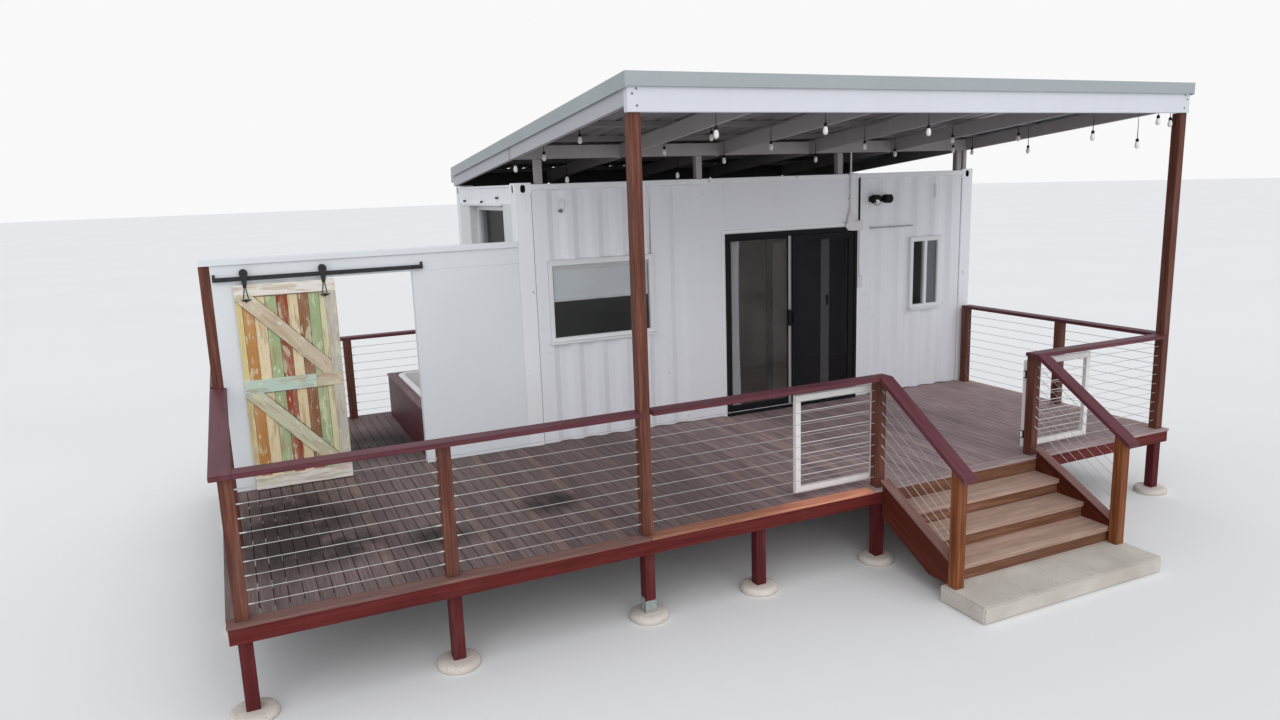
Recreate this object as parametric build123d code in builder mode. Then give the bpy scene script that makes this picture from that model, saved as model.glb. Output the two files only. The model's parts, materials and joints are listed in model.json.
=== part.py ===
from build123d import *

import math
import os

os.makedirs("parts", exist_ok=True)

# Shipping container cabin with a timber deck, a skillion roof, a stair, a screen wall
# and a bath surround. All sizes are in millimetres.
# Origin: on the ground, under the middle of the container's front left corner casting.
# +X runs along the container to its right end, +Y to its back, +Z up.
# Distances along the front are measured from the container's left end,
# distances in depth from its front face, and heights from the deck's surface.

# Clearances
seat = 0.3
running = 6.0

# Container
container_length = 6058.0
container_width = 2438.0
container_height = 2896.0
casting_length = 178.0
casting_width = 162.0
casting_height = 118.0
casting_wall = 28.0
slot_length = 79.0
slot_width = 51.0
corner_post_length = 172.0
corner_post_width = 150.0
top_rail_height = 60.0
top_rail_width = 60.0
top_rail_drop = 16.0
header_height = 200.0
base_depth = 160.0
bottom_rail_width = 48.0
floor_thickness = 28.0
wall_thickness = 100.0
wall_inset = 8.0
rib_pitch = 278.0
rib_depth = 36.0
rib_flat = 72.0
rib_slope = 68.0
roof_rib_pitch = 209.0
roof_rib_depth = 20.0
container_roof_thickness = 30.0
end_wall_recess = 110.0
end_wall_thickness = 90.0

# Ground and deck
deck_height = 700.0
board_thickness = 22.0
deck_depth = 2888.0
deck_left = 2965.0
deck_right = 6040.0
deck_nosing = 10.0
fascia_thickness = 35.0
joist_thickness = 45.0
joist_depth = 115.0
fascia_depth = joist_depth
joist_spacing = 450.0
side_deck_back = 2425.0
deck_gap = 4.0

# Stumps and footings
post_size = 90.0
post_setback = 53.0
footing_radius = 170.0
footing_sides = 10
footing_height = 60.0
pier_size = 260.0
pier_pad = 400.0
pier_pad_height = 90.0

# Posts along the front, measured to their centres
left_post = -2863.0
second_post = -1481.0
roof_post_left = 50.0
extra_stump = 1077.0
stair_post_left = 2310.0
stair_post_right = 4153.0
roof_post_right = 5950.0
right_middle_post = 1540.0
rear_middle_post = -1481.0
rear_right_post = -150.0

# Balustrade
rail_height = 1000.0
rail_width = 140.0
rail_thickness = 35.0
rail_overhang = 50.0
wire_radius = 2.5
wire_count = 9
wire_spacing = 98.0
wire_first = 88.0

# Gates
gate_bar = 50.0
gate_thickness = 40.0
gate_bottom = 60.0
gate_top = 910.0
gate_wires = 7
gate_meeting_gap = 10.0
gate_hinge_gap = 12.0
hinge_sleeve_radius = 9.0
hinge_pin_radius = 5.0
hinge_ear = 6.0
hinge_height = 70.0
hinge_plate = 4.0
hinge_inset = 130.0
latch_width = 24.0
latch_height = 70.0
latch_depth = 16.0

# Stair
riser_count = 4
tread_going = 275.0
tread_thickness = 40.0
riser_thickness = 20.0
tread_nosing = 20.0
slab_thickness = 140.0
slab_depth = 477.0
slab_side_margin = 35.0
stringer_thickness = 45.0
stringer_margin = 70.0
stringer_depth = 330.0
stringer_cap_width = 90.0
stringer_cap_thickness = 20.0
stair_rail_slope = 0.626
stair_rail_overhang = 70.0

# Skillion roof
roof_fall = 0.0955
rafter_depth = 140.0
rafter_thickness = 45.0
rafter_count = 6
purlin_depth = 50.0
purlin_width = 75.0
purlin_count = 7
sheet_rib_height = 29.0
sheet_thickness = 4.0
sheet_rib_pitch = 200.0
sheet_rib_top = 30.0
sheet_rib_base = 65.0
beam_thickness = 65.0
beam_depth = 235.0
beam_left_overhang = 20.0
beam_right_overhang = 0.0
roof_back_overhang = 40.0
front_cap_depth = 100.0
side_cap_depth = 112.0
cap_flange = 140.0
cap_thickness = 3.0
cap_overhang = 25.0
mid_beam_offset = 20.0
stub_size = 75.0
end_bracket_offset = 5945.0
end_bracket_size = 55.0
stub_offsets = (270.0, 2110.0, 4005.0, 5838.0)
gutter_width = 115.0
gutter_depth = 95.0
gutter_wall = 3.0

# Front window
window_left = 310.0
window_width = 1200.0
window_sill = 1080.0
window_height = 850.0
frame_face = 45.0
frame_depth = 60.0
frame_proud = 15.0
glass_thickness = 8.0
blind_drop = 380.0
blind_thickness = 4.0

# Small window on the right
small_window_left = 5078.0
small_window_width = 482.0
small_window_sill = 1026.0
small_window_height = 886.0

# End window, set back in a boarded reveal
end_reveal_front = 449.0
end_reveal_width = 1393.0
reveal_board = 20.0
end_window_sill = 1450.0
end_window_height = 1045.0

# Sliding door
door_left = 2410.0
door_width = 1810.0
door_height = 2100.0
door_jamb = 40.0
door_head = 50.0
door_sill = 30.0
door_proud = 55.0
door_frame_depth = 125.0
trim_width = 40.0
trim_proud = 18.0
panel_stile = 75.0
panel_rail = 70.0
panel_thickness = 30.0
panel_overlap = 35.0
fixed_panel_depth = 45.0
sliding_panel_depth = 85.0
screen_panel_depth = 8.0
sliding_rest_open = 300.0
mesh_thickness = 3.0
track_gap = 5.5
flat_wall_left = 2090.0
flat_wall_right = 4275.0

# Screen wall and barn door
screen_left = 2840.0
screen_height = 2100.0
screen_thickness = 90.0
screen_cap_height = 55.0
screen_cap_width = 130.0
screen_opening_left = 1860.0
screen_opening_right = 1070.0
screen_head_height = 166.0
screen_opening_height = screen_height - screen_head_height
barn_door_left = 2665.0
barn_door_width = 862.0
barn_door_bottom = 12.0
barn_door_top_gap = 14.0
barn_door_top = screen_opening_height - barn_door_top_gap
barn_door_thickness = 25.0
barn_frame_thickness = 18.0
barn_door_gap = 24.0
barn_top_rail = 105.0
barn_mid_rail_low = 925.0
barn_mid_rail_high = 1048.0
barn_bottom_rail = 120.0
barn_stile = 95.0
barn_brace = 130.0
barn_brace_drop = 27.0
barn_brace_cut = 75.0
track_left = 2827.0
track_right = 973.0
track_height = 40.0
track_thickness = 7.0
track_lift = 21.0
track_bottom = screen_opening_height + track_lift
wheel_radius = 34.0
wheel_width = 16.0
hanger_width = 40.0
hanger_thickness = 6.0
hanger_reach = 158.0
hanger_low = track_bottom - hanger_reach
hanger_inset = 95.0
spacer_count = 5
spacer_radius = 10.0
bolt_sides = 6

# Bath beside the container's left end
bath_left = 1045.0
bath_right = 35.0
bath_front = 200.0
bath_back = 2250.0
bath_height = 500.0
bath_board = 40.0
tub_margin = 130.0
tub_wall = 25.0
tub_depth = 420.0
tub_rim_height = 30.0
tub_rim_width = 45.0
tub_corner = 120.0

# Wall fittings
conduit_offset = 4135.0
conduit_radius = 16.0
conduit_bracket_width = 100.0
conduit_bracket_height = 190.0
flood_offset = 4555.0
flood_height = 2412.0
flood_spread = 90.0
flood_head_radius = 52.0
flood_head_length = 90.0
flood_base_depth = 30.0

# Derived planes
x_left = -casting_length / 2
x_right = x_left + container_length
y_front = -casting_width / 2
y_back = y_front + container_width
z_deck = deck_height
z_base = z_deck - base_depth
z_top = z_base + container_height
z_rail_top = z_top - top_rail_drop
z_rail_bottom = z_rail_top - top_rail_height
x_deck_left = x_left - deck_left
x_deck_right = x_left + deck_right
y_deck_front = y_front - deck_depth
y_fascia = y_deck_front + deck_nosing
y_side_back = y_front + side_deck_back
y_post_face = y_deck_front + post_setback
y_posts = y_post_face + post_size / 2
z_handrail = z_deck + rail_height
z_joist = z_deck - board_thickness - joist_depth
x_side_right = x_left - deck_gap
half_post = post_size / 2


def block(x, y, z, mode=Mode.ADD):
    """Fill the box between the low and high values of the three spans."""
    with Locations(((x[0] + x[1]) / 2, (y[0] + y[1]) / 2, (z[0] + z[1]) / 2)):
        Box(x[1] - x[0], y[1] - y[0], z[1] - z[0], mode=mode)


def around(middle, size):
    """The span of a size that is centred on a place."""
    return (middle - size / 2, middle + size / 2)


def ribbed_edge(start, end, pitch, depth, flat, slope):
    """Points along a trapezoidal corrugation from start to end: (along, depth in)."""
    count = int((end - start - flat) // pitch)
    margin = (end - start - count * pitch - flat) / 2
    points = [(start, 0.0), (start + margin + flat, 0.0)]
    for rib in range(count):
        foot = start + margin + flat + rib * pitch
        valley = pitch - flat - 2 * slope
        points.append((foot + slope, depth))
        points.append((foot + slope + valley, depth))
        points.append((foot + 2 * slope + valley, 0.0))
        points.append((foot + pitch, 0.0))
    points[-1] = (end, 0.0)
    return points


def wall_outline(start, end):
    """Plan of a wall along X: ribbed outside, flat lining inside."""
    ribs = ribbed_edge(start, end, rib_pitch, rib_depth, rib_flat, rib_slope)
    outer = [(x, y_front + wall_inset + y) for x, y in ribs]
    return outer + [(end, y_front + wall_thickness), (start, y_front + wall_thickness)]


# Container frame
casting_x = ((x_left, x_left + casting_length), (x_right - casting_length, x_right))
casting_y = ((y_front, y_front + casting_width), (y_back - casting_width, y_back))
casting_z = ((z_base, z_base + casting_height), (z_top - casting_height, z_top))
with BuildPart() as corner_castings:
    for x in casting_x:
        for y in casting_y:
            for z in casting_z:
                block(x, y, z)
    for plane, spans, faces in (
        (Plane.XZ, casting_x, (-y_front - casting_wall, -y_back)),
        (Plane.YZ, casting_y, (x_left, x_right - casting_wall)),
    ):
        for face in faces:
            with BuildSketch(plane.offset(face)) as apertures:
                for across in spans:
                    for z in casting_z:
                        with Locations((sum(across) / 2, sum(z) / 2)):
                            Rectangle(slot_width, slot_length)
                chamfer(apertures.vertices(), slot_width * 0.29)
            extrude(amount=casting_wall, mode=Mode.SUBTRACT)

post_z = (z_base + casting_height, z_top - casting_height)
with BuildPart() as corner_posts:
    for x in ((x_left, x_left + corner_post_length), (x_right - corner_post_length, x_right)):
        for y in ((y_front, y_front + corner_post_width), (y_back - corner_post_width, y_back)):
            block(x, y, post_z)

rail_x = (x_left + casting_length, x_right - casting_length)
rail_y = (y_front + casting_width, y_back - casting_width)
with BuildPart() as top_rails:
    block(rail_x, (y_front, y_front + top_rail_width), (z_rail_bottom, z_rail_top))
    block(rail_x, (y_back - top_rail_width, y_back), (z_rail_bottom, z_rail_top))
    header_z = (z_top - top_rail_drop - header_height, z_top - top_rail_drop)
    header_end = (x_left, x_left + top_rail_width)
    block(header_end, rail_y, header_z)
    lip = top_rail_width / 3
    panel_z = (header_z[0] + lip, header_z[1] - lip)
    block((x_left, x_left + lip), (rail_y[0] + lip, rail_y[1] - lip), panel_z, Mode.SUBTRACT)
    block((x_right - top_rail_width, x_right), rail_y, header_z)

z_floor = z_deck - floor_thickness
with BuildPart() as bottom_rails:
    block(rail_x, (y_front, y_front + bottom_rail_width), (z_base + seat, z_deck))
    block(rail_x, (y_back - bottom_rail_width, y_back), (z_base + seat, z_deck))
    block((x_left, x_left + bottom_rail_width), rail_y, (z_base + seat, z_deck))
    block((x_right - bottom_rail_width, x_right), rail_y, (z_base + seat, z_deck))

inner_x = (x_left + bottom_rail_width, x_right - bottom_rail_width)
inner_y = (y_front + bottom_rail_width, y_back - bottom_rail_width)
with BuildPart() as cabin_floor:
    floor_x = (rail_x[0], rail_x[1])
    block(floor_x, inner_y, (z_floor, z_deck))
    member_count = 12
    for member in range(member_count):
        middle = floor_x[0] + (member + 0.5) * (floor_x[1] - floor_x[0]) / member_count
        block(around(middle, joist_thickness), inner_y, (z_base + seat, z_floor - seat))

# Container walls
wall_z = (z_deck, z_rail_bottom)
wall_height = wall_z[1] - wall_z[0]
post_inner_left = x_left + casting_length
post_inner_right = x_right - casting_length
flat_left = x_left + flat_wall_left
flat_right = x_left + flat_wall_right
opening_left = x_left + door_left - seat
opening_right = x_left + door_left + door_width + seat
y_inside = y_front + wall_thickness


def cut_window(left, width, sill, height):
    """Cut a window opening through a wall that runs along X."""
    x = (x_left + left - seat, x_left + left + width + seat)
    z = (z_deck + sill - seat, z_deck + sill + height + seat)
    block(x, (y_front - wall_thickness, y_front + 2 * wall_thickness), z, Mode.SUBTRACT)


with BuildPart() as front_wall_left:
    with BuildSketch(Plane.XY.offset(wall_z[0])):
        with BuildLine():
            ribs = wall_outline(post_inner_left, flat_left)
            flat_face = y_front + wall_inset
            flat_end = [(opening_left, flat_face), (opening_left, y_inside)]
            Polyline(*ribs[:-2], *flat_end, ribs[-1], close=True)
        make_face()
    extrude(amount=wall_height)
    cut_window(window_left, window_width, window_sill, window_height)

with BuildPart() as front_wall_over_door:
    door_top = z_deck + door_height + seat
    block((opening_left, opening_right), (y_front + wall_inset, y_inside), (door_top, wall_z[1]))

with BuildPart() as front_wall_right:
    with BuildSketch(Plane.XY.offset(wall_z[0])):
        with BuildLine():
            ribs = wall_outline(flat_right, post_inner_right)
            flat_face = y_front + wall_inset
            Polyline((opening_right, flat_face), *ribs[:-1], (opening_right, y_inside), close=True)
        make_face()
    extrude(amount=wall_height)
    cut_window(small_window_left, small_window_width, small_window_sill, small_window_height)

with BuildPart() as back_wall:
    with BuildSketch(Plane.XY.offset(wall_z[0])):
        with BuildLine():
            Polyline(*wall_outline(post_inner_left, post_inner_right), close=True)
        make_face()
        mirror(about=Plane.XZ.offset(-(y_front + y_back) / 2), mode=Mode.REPLACE)
    extrude(amount=wall_height)

end_y = (y_front + corner_post_width, y_back - corner_post_width)
end_wall_z = (z_deck, z_top - top_rail_drop - header_height)
with BuildPart() as right_end_wall:
    with BuildSketch(Plane.XY.offset(end_wall_z[0])):
        with BuildLine():
            ribs = ribbed_edge(*end_y, rib_pitch, rib_depth, rib_flat, rib_slope)
            outer = [(x_right - wall_inset - depth, along) for along, depth in ribs]
            inner_face = x_right - wall_thickness
            Polyline(*outer, (inner_face, end_y[1]), (inner_face, end_y[0]), close=True)
        make_face()
    extrude(amount=end_wall_z[1] - end_wall_z[0])

x_infill = x_left + end_wall_recess
with BuildPart() as left_end_wall:
    block((x_infill, x_infill + end_wall_thickness), end_y, end_wall_z)
    reveal_y = (y_front + end_reveal_front, y_front + end_reveal_front + end_reveal_width)
    end_window_y = (reveal_y[0] + seat, reveal_y[1] - seat)
    end_window_z = (z_deck + end_window_sill, z_deck + end_window_sill + end_window_height)
    hole_y = (end_window_y[0] - seat, end_window_y[1] + seat)
    hole_z = (end_window_z[0] - seat, end_window_z[1] + seat)
    through = (x_infill - wall_thickness, x_infill + 2 * wall_thickness)
    block(through, hole_y, hole_z, Mode.SUBTRACT)
    for side, corner, reveal in ((1, end_y[0], reveal_y[0]), (-1, end_y[1], reveal_y[1])):
        face_y = sorted((corner, reveal))
        return_y = sorted((reveal, reveal - side * reveal_board))
        block((x_left, x_left + reveal_board), face_y, end_wall_z)
        block((x_left, x_infill), return_y, end_wall_z)

with BuildPart() as container_roof:
    with BuildSketch(Plane.XZ.offset(-(y_back - top_rail_width))):
        with BuildLine():
            valley = roof_rib_pitch / 4
            ribs = ribbed_edge(*rail_x, roof_rib_pitch, roof_rib_depth, valley, valley)
            under = z_rail_top - container_roof_thickness
            outer = [(x, z_rail_top - depth) for x, depth in ribs]
            Polyline(*outer, (rail_x[1], under), (rail_x[0], under), close=True)
        make_face()
    extrude(amount=container_width - 2 * top_rail_width)

# Windows
def ring(x, y, z, face):
    """A rectangular frame in the plane of X and Z."""
    block(x, y, z)
    block((x[0] + face, x[1] - face), y, (z[0] + face, z[1] - face), Mode.SUBTRACT)


window_y = (y_front + wall_inset - frame_proud, y_front + wall_inset - frame_proud + frame_depth)
window_x = (x_left + window_left, x_left + window_left + window_width)
window_z = (z_deck + window_sill, z_deck + window_sill + window_height)
small_x = (x_left + small_window_left, x_left + small_window_left + small_window_width)
small_z = (z_deck + small_window_sill, z_deck + small_window_sill + small_window_height)
small_middle = sum(small_x) / 2
end_window_x = (x_infill - frame_proud, x_infill - frame_proud + frame_depth)
with BuildPart() as window_frames:
    ring(window_x, window_y, window_z, frame_face)
    ring(small_x, window_y, small_z, frame_face)
    block(around(small_middle, frame_face), window_y, (small_z[0] + frame_face, small_z[1] - frame_face))
    block(end_window_x, end_window_y, end_window_z)
    glazed_y = (end_window_y[0] + frame_face, end_window_y[1] - frame_face)
    glazed_z = (end_window_z[0] + frame_face, end_window_z[1] - frame_face)
    block(end_window_x, glazed_y, glazed_z, Mode.SUBTRACT)


def inset(span, amount):
    """A span made smaller by the same amount at both ends."""
    return (span[0] + amount, span[1] - amount)


glass_y = around(sum(window_y) / 2, glass_thickness)
pane_inset = frame_face + seat
blind_y = (glass_y[1] + seat, glass_y[1] + seat + blind_thickness)
with BuildPart() as window_blind:
    blind_top = window_z[1] - pane_inset
    block(inset(window_x, pane_inset), blind_y, (blind_top - blind_drop, blind_top))

# Sliding door
door_x = (x_left + door_left, x_left + door_left + door_width)
door_y = (y_front + wall_inset - door_proud, y_front + wall_inset - door_proud + door_frame_depth)
door_z = (z_deck, z_deck + door_height)
clear_x = (door_x[0] + door_jamb, door_x[1] - door_jamb)
clear_z = (door_z[0] + door_sill, door_z[1] - door_head)
panel_width = (clear_x[1] - clear_x[0] + panel_overlap) / 2 - track_gap / 2


def panel_y(depth):
    """Where a door panel lies in the depth of the frame."""
    return (door_y[0] + depth, door_y[0] + depth + panel_thickness)


with BuildPart() as door_trim:
    wall_face = y_front + wall_inset
    trim_y = (wall_face - trim_proud, wall_face - seat)
    trim_top = door_z[1] + trim_width
    block((door_x[0] - trim_width, door_x[1] + trim_width), trim_y, (door_z[1] + seat, trim_top))
    side_z = (z_deck + seat, door_z[1] - seat)
    block((door_x[0] - trim_width, door_x[0] - seat), trim_y, side_z)
    block((door_x[1] + seat, door_x[1] + trim_width), trim_y, side_z)

fixed_x = (clear_x[0] + seat, clear_x[0] + seat + panel_width)
fixed_y = panel_y(fixed_panel_depth)
panel_z = (clear_z[0] + seat, clear_z[1] - seat)
moving_z = (clear_z[0] + seat, clear_z[1] - track_gap)


def door_panel(x, y, z):
    """A door panel's frame: two stiles and two rails round its glass."""
    block(x, y, z)
    hole_z = (z[0] + panel_rail, z[1] - panel_rail)
    block(inset(x, panel_stile), y, hole_z, Mode.SUBTRACT)


def door_pane(x, y, z, thickness):
    """The sheet inside a door panel's frame."""
    edge = panel_stile + seat
    rail = panel_rail + seat
    block(inset(x, edge), around(sum(y) / 2, thickness), inset(z, rail))


with BuildPart() as door_frame:
    block(door_x, door_y, (door_z[0], clear_z[0]))
    block(door_x, door_y, (clear_z[1], door_z[1]))
    block((door_x[0], clear_x[0]), door_y, panel_z)
    block((clear_x[1], door_x[1]), door_y, panel_z)
    door_panel(fixed_x, fixed_y, panel_z)

with BuildPart() as fixed_glass:
    block(inset(window_x, pane_inset), glass_y, inset(window_z, pane_inset))
    left_pane = (small_x[0] + pane_inset, small_middle - frame_face / 2 - seat)
    right_pane = (small_middle + frame_face / 2 + seat, small_x[1] - pane_inset)
    block(left_pane, glass_y, inset(small_z, pane_inset))
    block(right_pane, glass_y, inset(small_z, pane_inset))
    end_glass_x = around(sum(end_window_x) / 2, glass_thickness)
    block(end_glass_x, inset(end_window_y, pane_inset), inset(end_window_z, pane_inset))
    door_pane(fixed_x, fixed_y, panel_z, glass_thickness)

closed_right = clear_x[1] - track_gap
sliding_x = (closed_right - panel_width - sliding_rest_open, closed_right - sliding_rest_open)
sliding_y = panel_y(sliding_panel_depth)
with BuildPart() as sliding_door_panel:
    door_panel(sliding_x, sliding_y, moving_z)

with BuildPart() as sliding_door_glass:
    door_pane(sliding_x, sliding_y, moving_z, glass_thickness)

screen_x = (closed_right - panel_width, closed_right)
screen_y = panel_y(screen_panel_depth)
with BuildPart() as screen_door_frame:
    door_panel(screen_x, screen_y, moving_z)

with BuildPart() as screen_door_mesh:
    door_pane(screen_x, screen_y, moving_z, mesh_thickness)

# Deck
frame_front = y_fascia + fascia_thickness
frame_left = x_deck_left + deck_nosing + fascia_thickness
frame_right = x_deck_right - deck_nosing - fascia_thickness
frame_back = y_side_back - deck_nosing - fascia_thickness
frame_z = (z_joist, z_deck - board_thickness)
with BuildPart() as deck_boards:
    board_z = (z_deck - board_thickness, z_deck)
    block((x_deck_left, x_deck_right), (y_deck_front, y_front - deck_gap), board_z)
    block((x_deck_left, x_side_right), (y_front, y_side_back), board_z)

with BuildPart() as deck_frame:
    bearer_offsets = (
        left_post,
        second_post,
        roof_post_left,
        extra_stump,
        stair_post_left,
        (stair_post_left + stair_post_right) / 2,
        stair_post_right,
        (stair_post_right + roof_post_right) / 2,
        roof_post_right,
    )
    for offset in bearer_offsets:
        bearer_x = around(x_left + offset, joist_thickness)
        block(bearer_x, (frame_front, y_front - deck_gap), frame_z)
    joist_rows = int((y_front - frame_front) // joist_spacing) + 1
    row_step = (y_front - deck_gap - joist_thickness - frame_front) / (joist_rows - 1)
    for row in range(joist_rows):
        joist_y = frame_front + row * row_step
        block((frame_left, frame_right), (joist_y, joist_y + joist_thickness), frame_z)

    for offset in (left_post, (left_post + second_post) / 2, second_post, second_post / 2):
        bearer_x = around(x_left + offset, joist_thickness)
        block(bearer_x, (y_front, frame_back), frame_z)
    side_rows = int((frame_back - y_front) // joist_spacing) + 1
    row_step = (frame_back - joist_thickness - y_front) / (side_rows - 1)
    for row in range(side_rows):
        joist_y = y_front + row * row_step
        block((frame_left, x_side_right), (joist_y, joist_y + joist_thickness), frame_z)

fascia_z = (z_deck - board_thickness - fascia_depth, z_deck - board_thickness)
with BuildPart() as deck_fascias:
    left_x = (x_deck_left + deck_nosing, frame_left)
    right_x = (frame_right, x_deck_right - deck_nosing)
    block((left_x[0], right_x[1]), (y_fascia, frame_front - seat), fascia_z)
    block((left_x[0], left_x[1] - seat), (frame_front, frame_back), fascia_z)
    block((right_x[0] + seat, right_x[1]), (frame_front, y_front - deck_gap), fascia_z)
    back_y = (frame_back + seat, frame_back + fascia_thickness)
    block((left_x[0], x_side_right), back_y, fascia_z)

# Stumps and footings
front_stumps = (
    left_post,
    second_post,
    roof_post_left,
    extra_stump,
    stair_post_left,
    stair_post_right,
    roof_post_right,
)
y_middle_row = (y_posts + y_front) / 2
stump_places = [(x_left + offset, y_posts) for offset in front_stumps]
stump_places += [(x_left + offset, y_middle_row) for offset in front_stumps]
side_rows_y = ((y_front + frame_back) / 2, frame_back - post_size)
for row_y in side_rows_y:
    stump_places += [(x_left + offset, row_y) for offset in (left_post, second_post)]
with BuildPart() as deck_stumps:
    for x, y in stump_places:
        block(around(x, post_size), around(y, post_size), (footing_height, z_joist))

pier_x = (x_left + casting_length / 2, (x_left + x_right) / 2, x_right - casting_length / 2)
pier_y = (y_front + casting_width / 2, y_back - casting_width / 2)
with BuildPart() as footings:
    with BuildSketch():
        with Locations(*stump_places):
            RegularPolygon(footing_radius, footing_sides)
    extrude(amount=footing_height)
    for x in pier_x:
        for y in pier_y:
            block(around(x, pier_pad), around(y, pier_pad), (0, pier_pad_height))
            block(around(x, pier_size), around(y, pier_size), (pier_pad_height, z_base))

# Stair between the two stair posts
x_stair_left = x_left + stair_post_left
x_stair_right = x_left + stair_post_right
riser_height = (deck_height - slab_thickness) / riser_count
tread_x = (
    x_stair_left + stringer_thickness / 2 + seat,
    x_stair_right - stringer_thickness / 2 - seat,
)


def nosing(step):
    """Depth of a step's front edge, counted down from the deck."""
    return y_deck_front - step * tread_going


with BuildPart() as stair_steps:
    for step in range(1, riser_count):
        top = z_deck - step * riser_height
        back = y_fascia - seat if step == 1 else nosing(step - 1) + tread_nosing + riser_thickness
        block(tread_x, (nosing(step), back), (top - tread_thickness, top))
    for step in range(2, riser_count + 1):
        face = nosing(step - 1) + tread_nosing
        top = z_deck - (step - 1) * riser_height - tread_thickness
        foot = z_deck - step * riser_height
        block(tread_x, (face, face + riser_thickness), (foot + seat, top - seat))

newel_back = nosing(riser_count - 1) - running
newel_y = (newel_back - post_size, newel_back)
y_newel = sum(newel_y) / 2
slope = riser_height / tread_going
z_slab = slab_thickness


def stringer_line(y):
    """Height of the stringer's top edge."""
    return z_deck + (y - y_deck_front) * slope + stringer_margin


with BuildPart() as stair_stringers:
    top_y = y_deck_front - seat
    back_y = y_fascia - seat
    under_boards = z_deck - board_thickness - seat
    low_y = newel_back + seat
    toe_y = y_deck_front + (z_slab - z_deck - stringer_margin + stringer_depth) / slope
    for x in (x_stair_left, x_stair_right):
        with BuildSketch(Plane.YZ.offset(x - stringer_thickness / 2)):
            with BuildLine():
                Polyline(
                    (top_y, stringer_line(top_y)),
                    (low_y, stringer_line(low_y)),
                    (low_y, z_slab + seat),
                    (toe_y, z_slab + seat),
                    (back_y, stringer_line(back_y) - stringer_depth),
                    (back_y, under_boards),
                    (top_y, under_boards),
                    close=True,
                )
            make_face()
        extrude(amount=stringer_thickness)
        with BuildSketch(Plane.YZ.offset(x - stringer_cap_width / 2)):
            with BuildLine():
                Polyline(
                    (top_y, stringer_line(top_y)),
                    (low_y, stringer_line(low_y)),
                    (low_y, stringer_line(low_y) + stringer_cap_thickness),
                    (top_y, stringer_line(top_y) + stringer_cap_thickness),
                    close=True,
                )
            make_face()
        extrude(amount=stringer_cap_width)

with BuildPart() as landing_slab:
    slab_x = (
        x_stair_left - half_post - slab_side_margin,
        x_stair_right + half_post + slab_side_margin,
    )
    slab_back = nosing(riser_count - 1) + tread_nosing + riser_thickness
    block(slab_x, (slab_back - slab_depth, slab_back), (0, z_slab))

# Balustrade
x_first = x_left + left_post
x_last = x_left + roof_post_right
y_right_middle = y_front - right_middle_post
y_right_end = y_front - post_size
y_left_middle = (y_posts + y_front) / 2
y_rear = y_side_back - post_setback - half_post
y_side_middle = (y_front + screen_thickness + y_rear) / 2
x_rear_middle = x_left + rear_middle_post
x_rear_right = x_left + rear_right_post
rail_z = (z_handrail - rail_thickness, z_handrail)
post_z = (z_deck, z_handrail - rail_thickness)
baluster_places = (
    (x_first, y_posts),
    (x_left + second_post, y_posts),
    (x_stair_left, y_posts),
    (x_stair_right, y_posts),
    (x_first, y_left_middle),
    (x_last, y_right_middle),
    (x_last, y_right_end),
    (x_first, y_side_middle),
    (x_first, y_rear),
    (x_rear_middle, y_rear),
    (x_rear_right, y_rear),
)
y_rail_front = y_posts - half_post - rail_overhang
x_rail_left = x_first - half_post - rail_overhang
x_rail_right = x_last + half_post + rail_overhang
y_rail_rear = y_rear + half_post + rail_overhang
rail_end_y = newel_y[0] - stair_rail_overhang


def stair_rail_line(y):
    """Height of the stair handrail's top face."""
    return z_handrail + (y - y_rail_front) * stair_rail_slope


stair_rail_plumb = rail_thickness * math.hypot(1, stair_rail_slope)


def newel_top(y):
    """Height of a newel's bevelled top, just under the handrail."""
    return stair_rail_line(y) - stair_rail_plumb - seat


with BuildPart() as balustrade_posts:
    for x, y in baluster_places:
        block(around(x, post_size), around(y, post_size), post_z)
    for x in (x_stair_left, x_stair_right):
        with BuildSketch(Plane.YZ.offset(x - half_post)):
            with BuildLine():
                Polyline(
                    (newel_y[0], z_slab),
                    (newel_y[1], z_slab),
                    (newel_y[1], newel_top(newel_y[1])),
                    (newel_y[0], newel_top(newel_y[0])),
                    close=True,
                )
            make_face()
        extrude(amount=post_size)

half_rail = rail_width / 2
x_roof_left = x_left + roof_post_left
x_roof_right = x_last
with BuildPart() as handrails:
    front_y = (y_rail_front, y_rail_front + rail_width)
    left_x = (x_rail_left, x_rail_left + rail_width)
    right_x = (x_rail_right - rail_width, x_rail_right)
    rear_y = (y_rail_rear - rail_width, y_rail_rear)
    block((left_x[1] + seat, x_roof_left - half_post - seat), front_y, rail_z)
    block((x_roof_left + half_post + seat, x_stair_left + half_rail), front_y, rail_z)
    block((x_stair_right - half_rail, x_roof_right - half_post - seat), front_y, rail_z)
    block(left_x, (y_rail_front, y_front - seat), rail_z)
    block(right_x, (y_posts + half_post + seat, y_right_end + half_post), rail_z)
    block(left_x, (y_front + screen_thickness + seat, rear_y[0] - seat), rail_z)
    block((x_rail_left, x_rear_right + half_post), rear_y, rail_z)
    stair_rail_top = y_rail_front - seat
    for x in (x_stair_left, x_stair_right):
        with BuildSketch(Plane.YZ.offset(x - half_rail)):
            with BuildLine():
                Polyline(
                    (stair_rail_top, stair_rail_line(stair_rail_top)),
                    (rail_end_y, stair_rail_line(rail_end_y)),
                    (rail_end_y, stair_rail_line(rail_end_y) - stair_rail_plumb),
                    (stair_rail_top, stair_rail_line(stair_rail_top) - stair_rail_plumb),
                    close=True,
                )
            make_face()
        extrude(amount=rail_width)


def wire(start, end):
    """A straight six-sided wire between two points, held just clear of both."""
    run = Vector(*end) - Vector(*start)
    with BuildSketch(Plane(origin=start, z_dir=run).offset(seat)) as section:
        RegularPolygon(wire_radius, 6)
    extrude(section.sketch, amount=run.length - 2 * seat)


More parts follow.
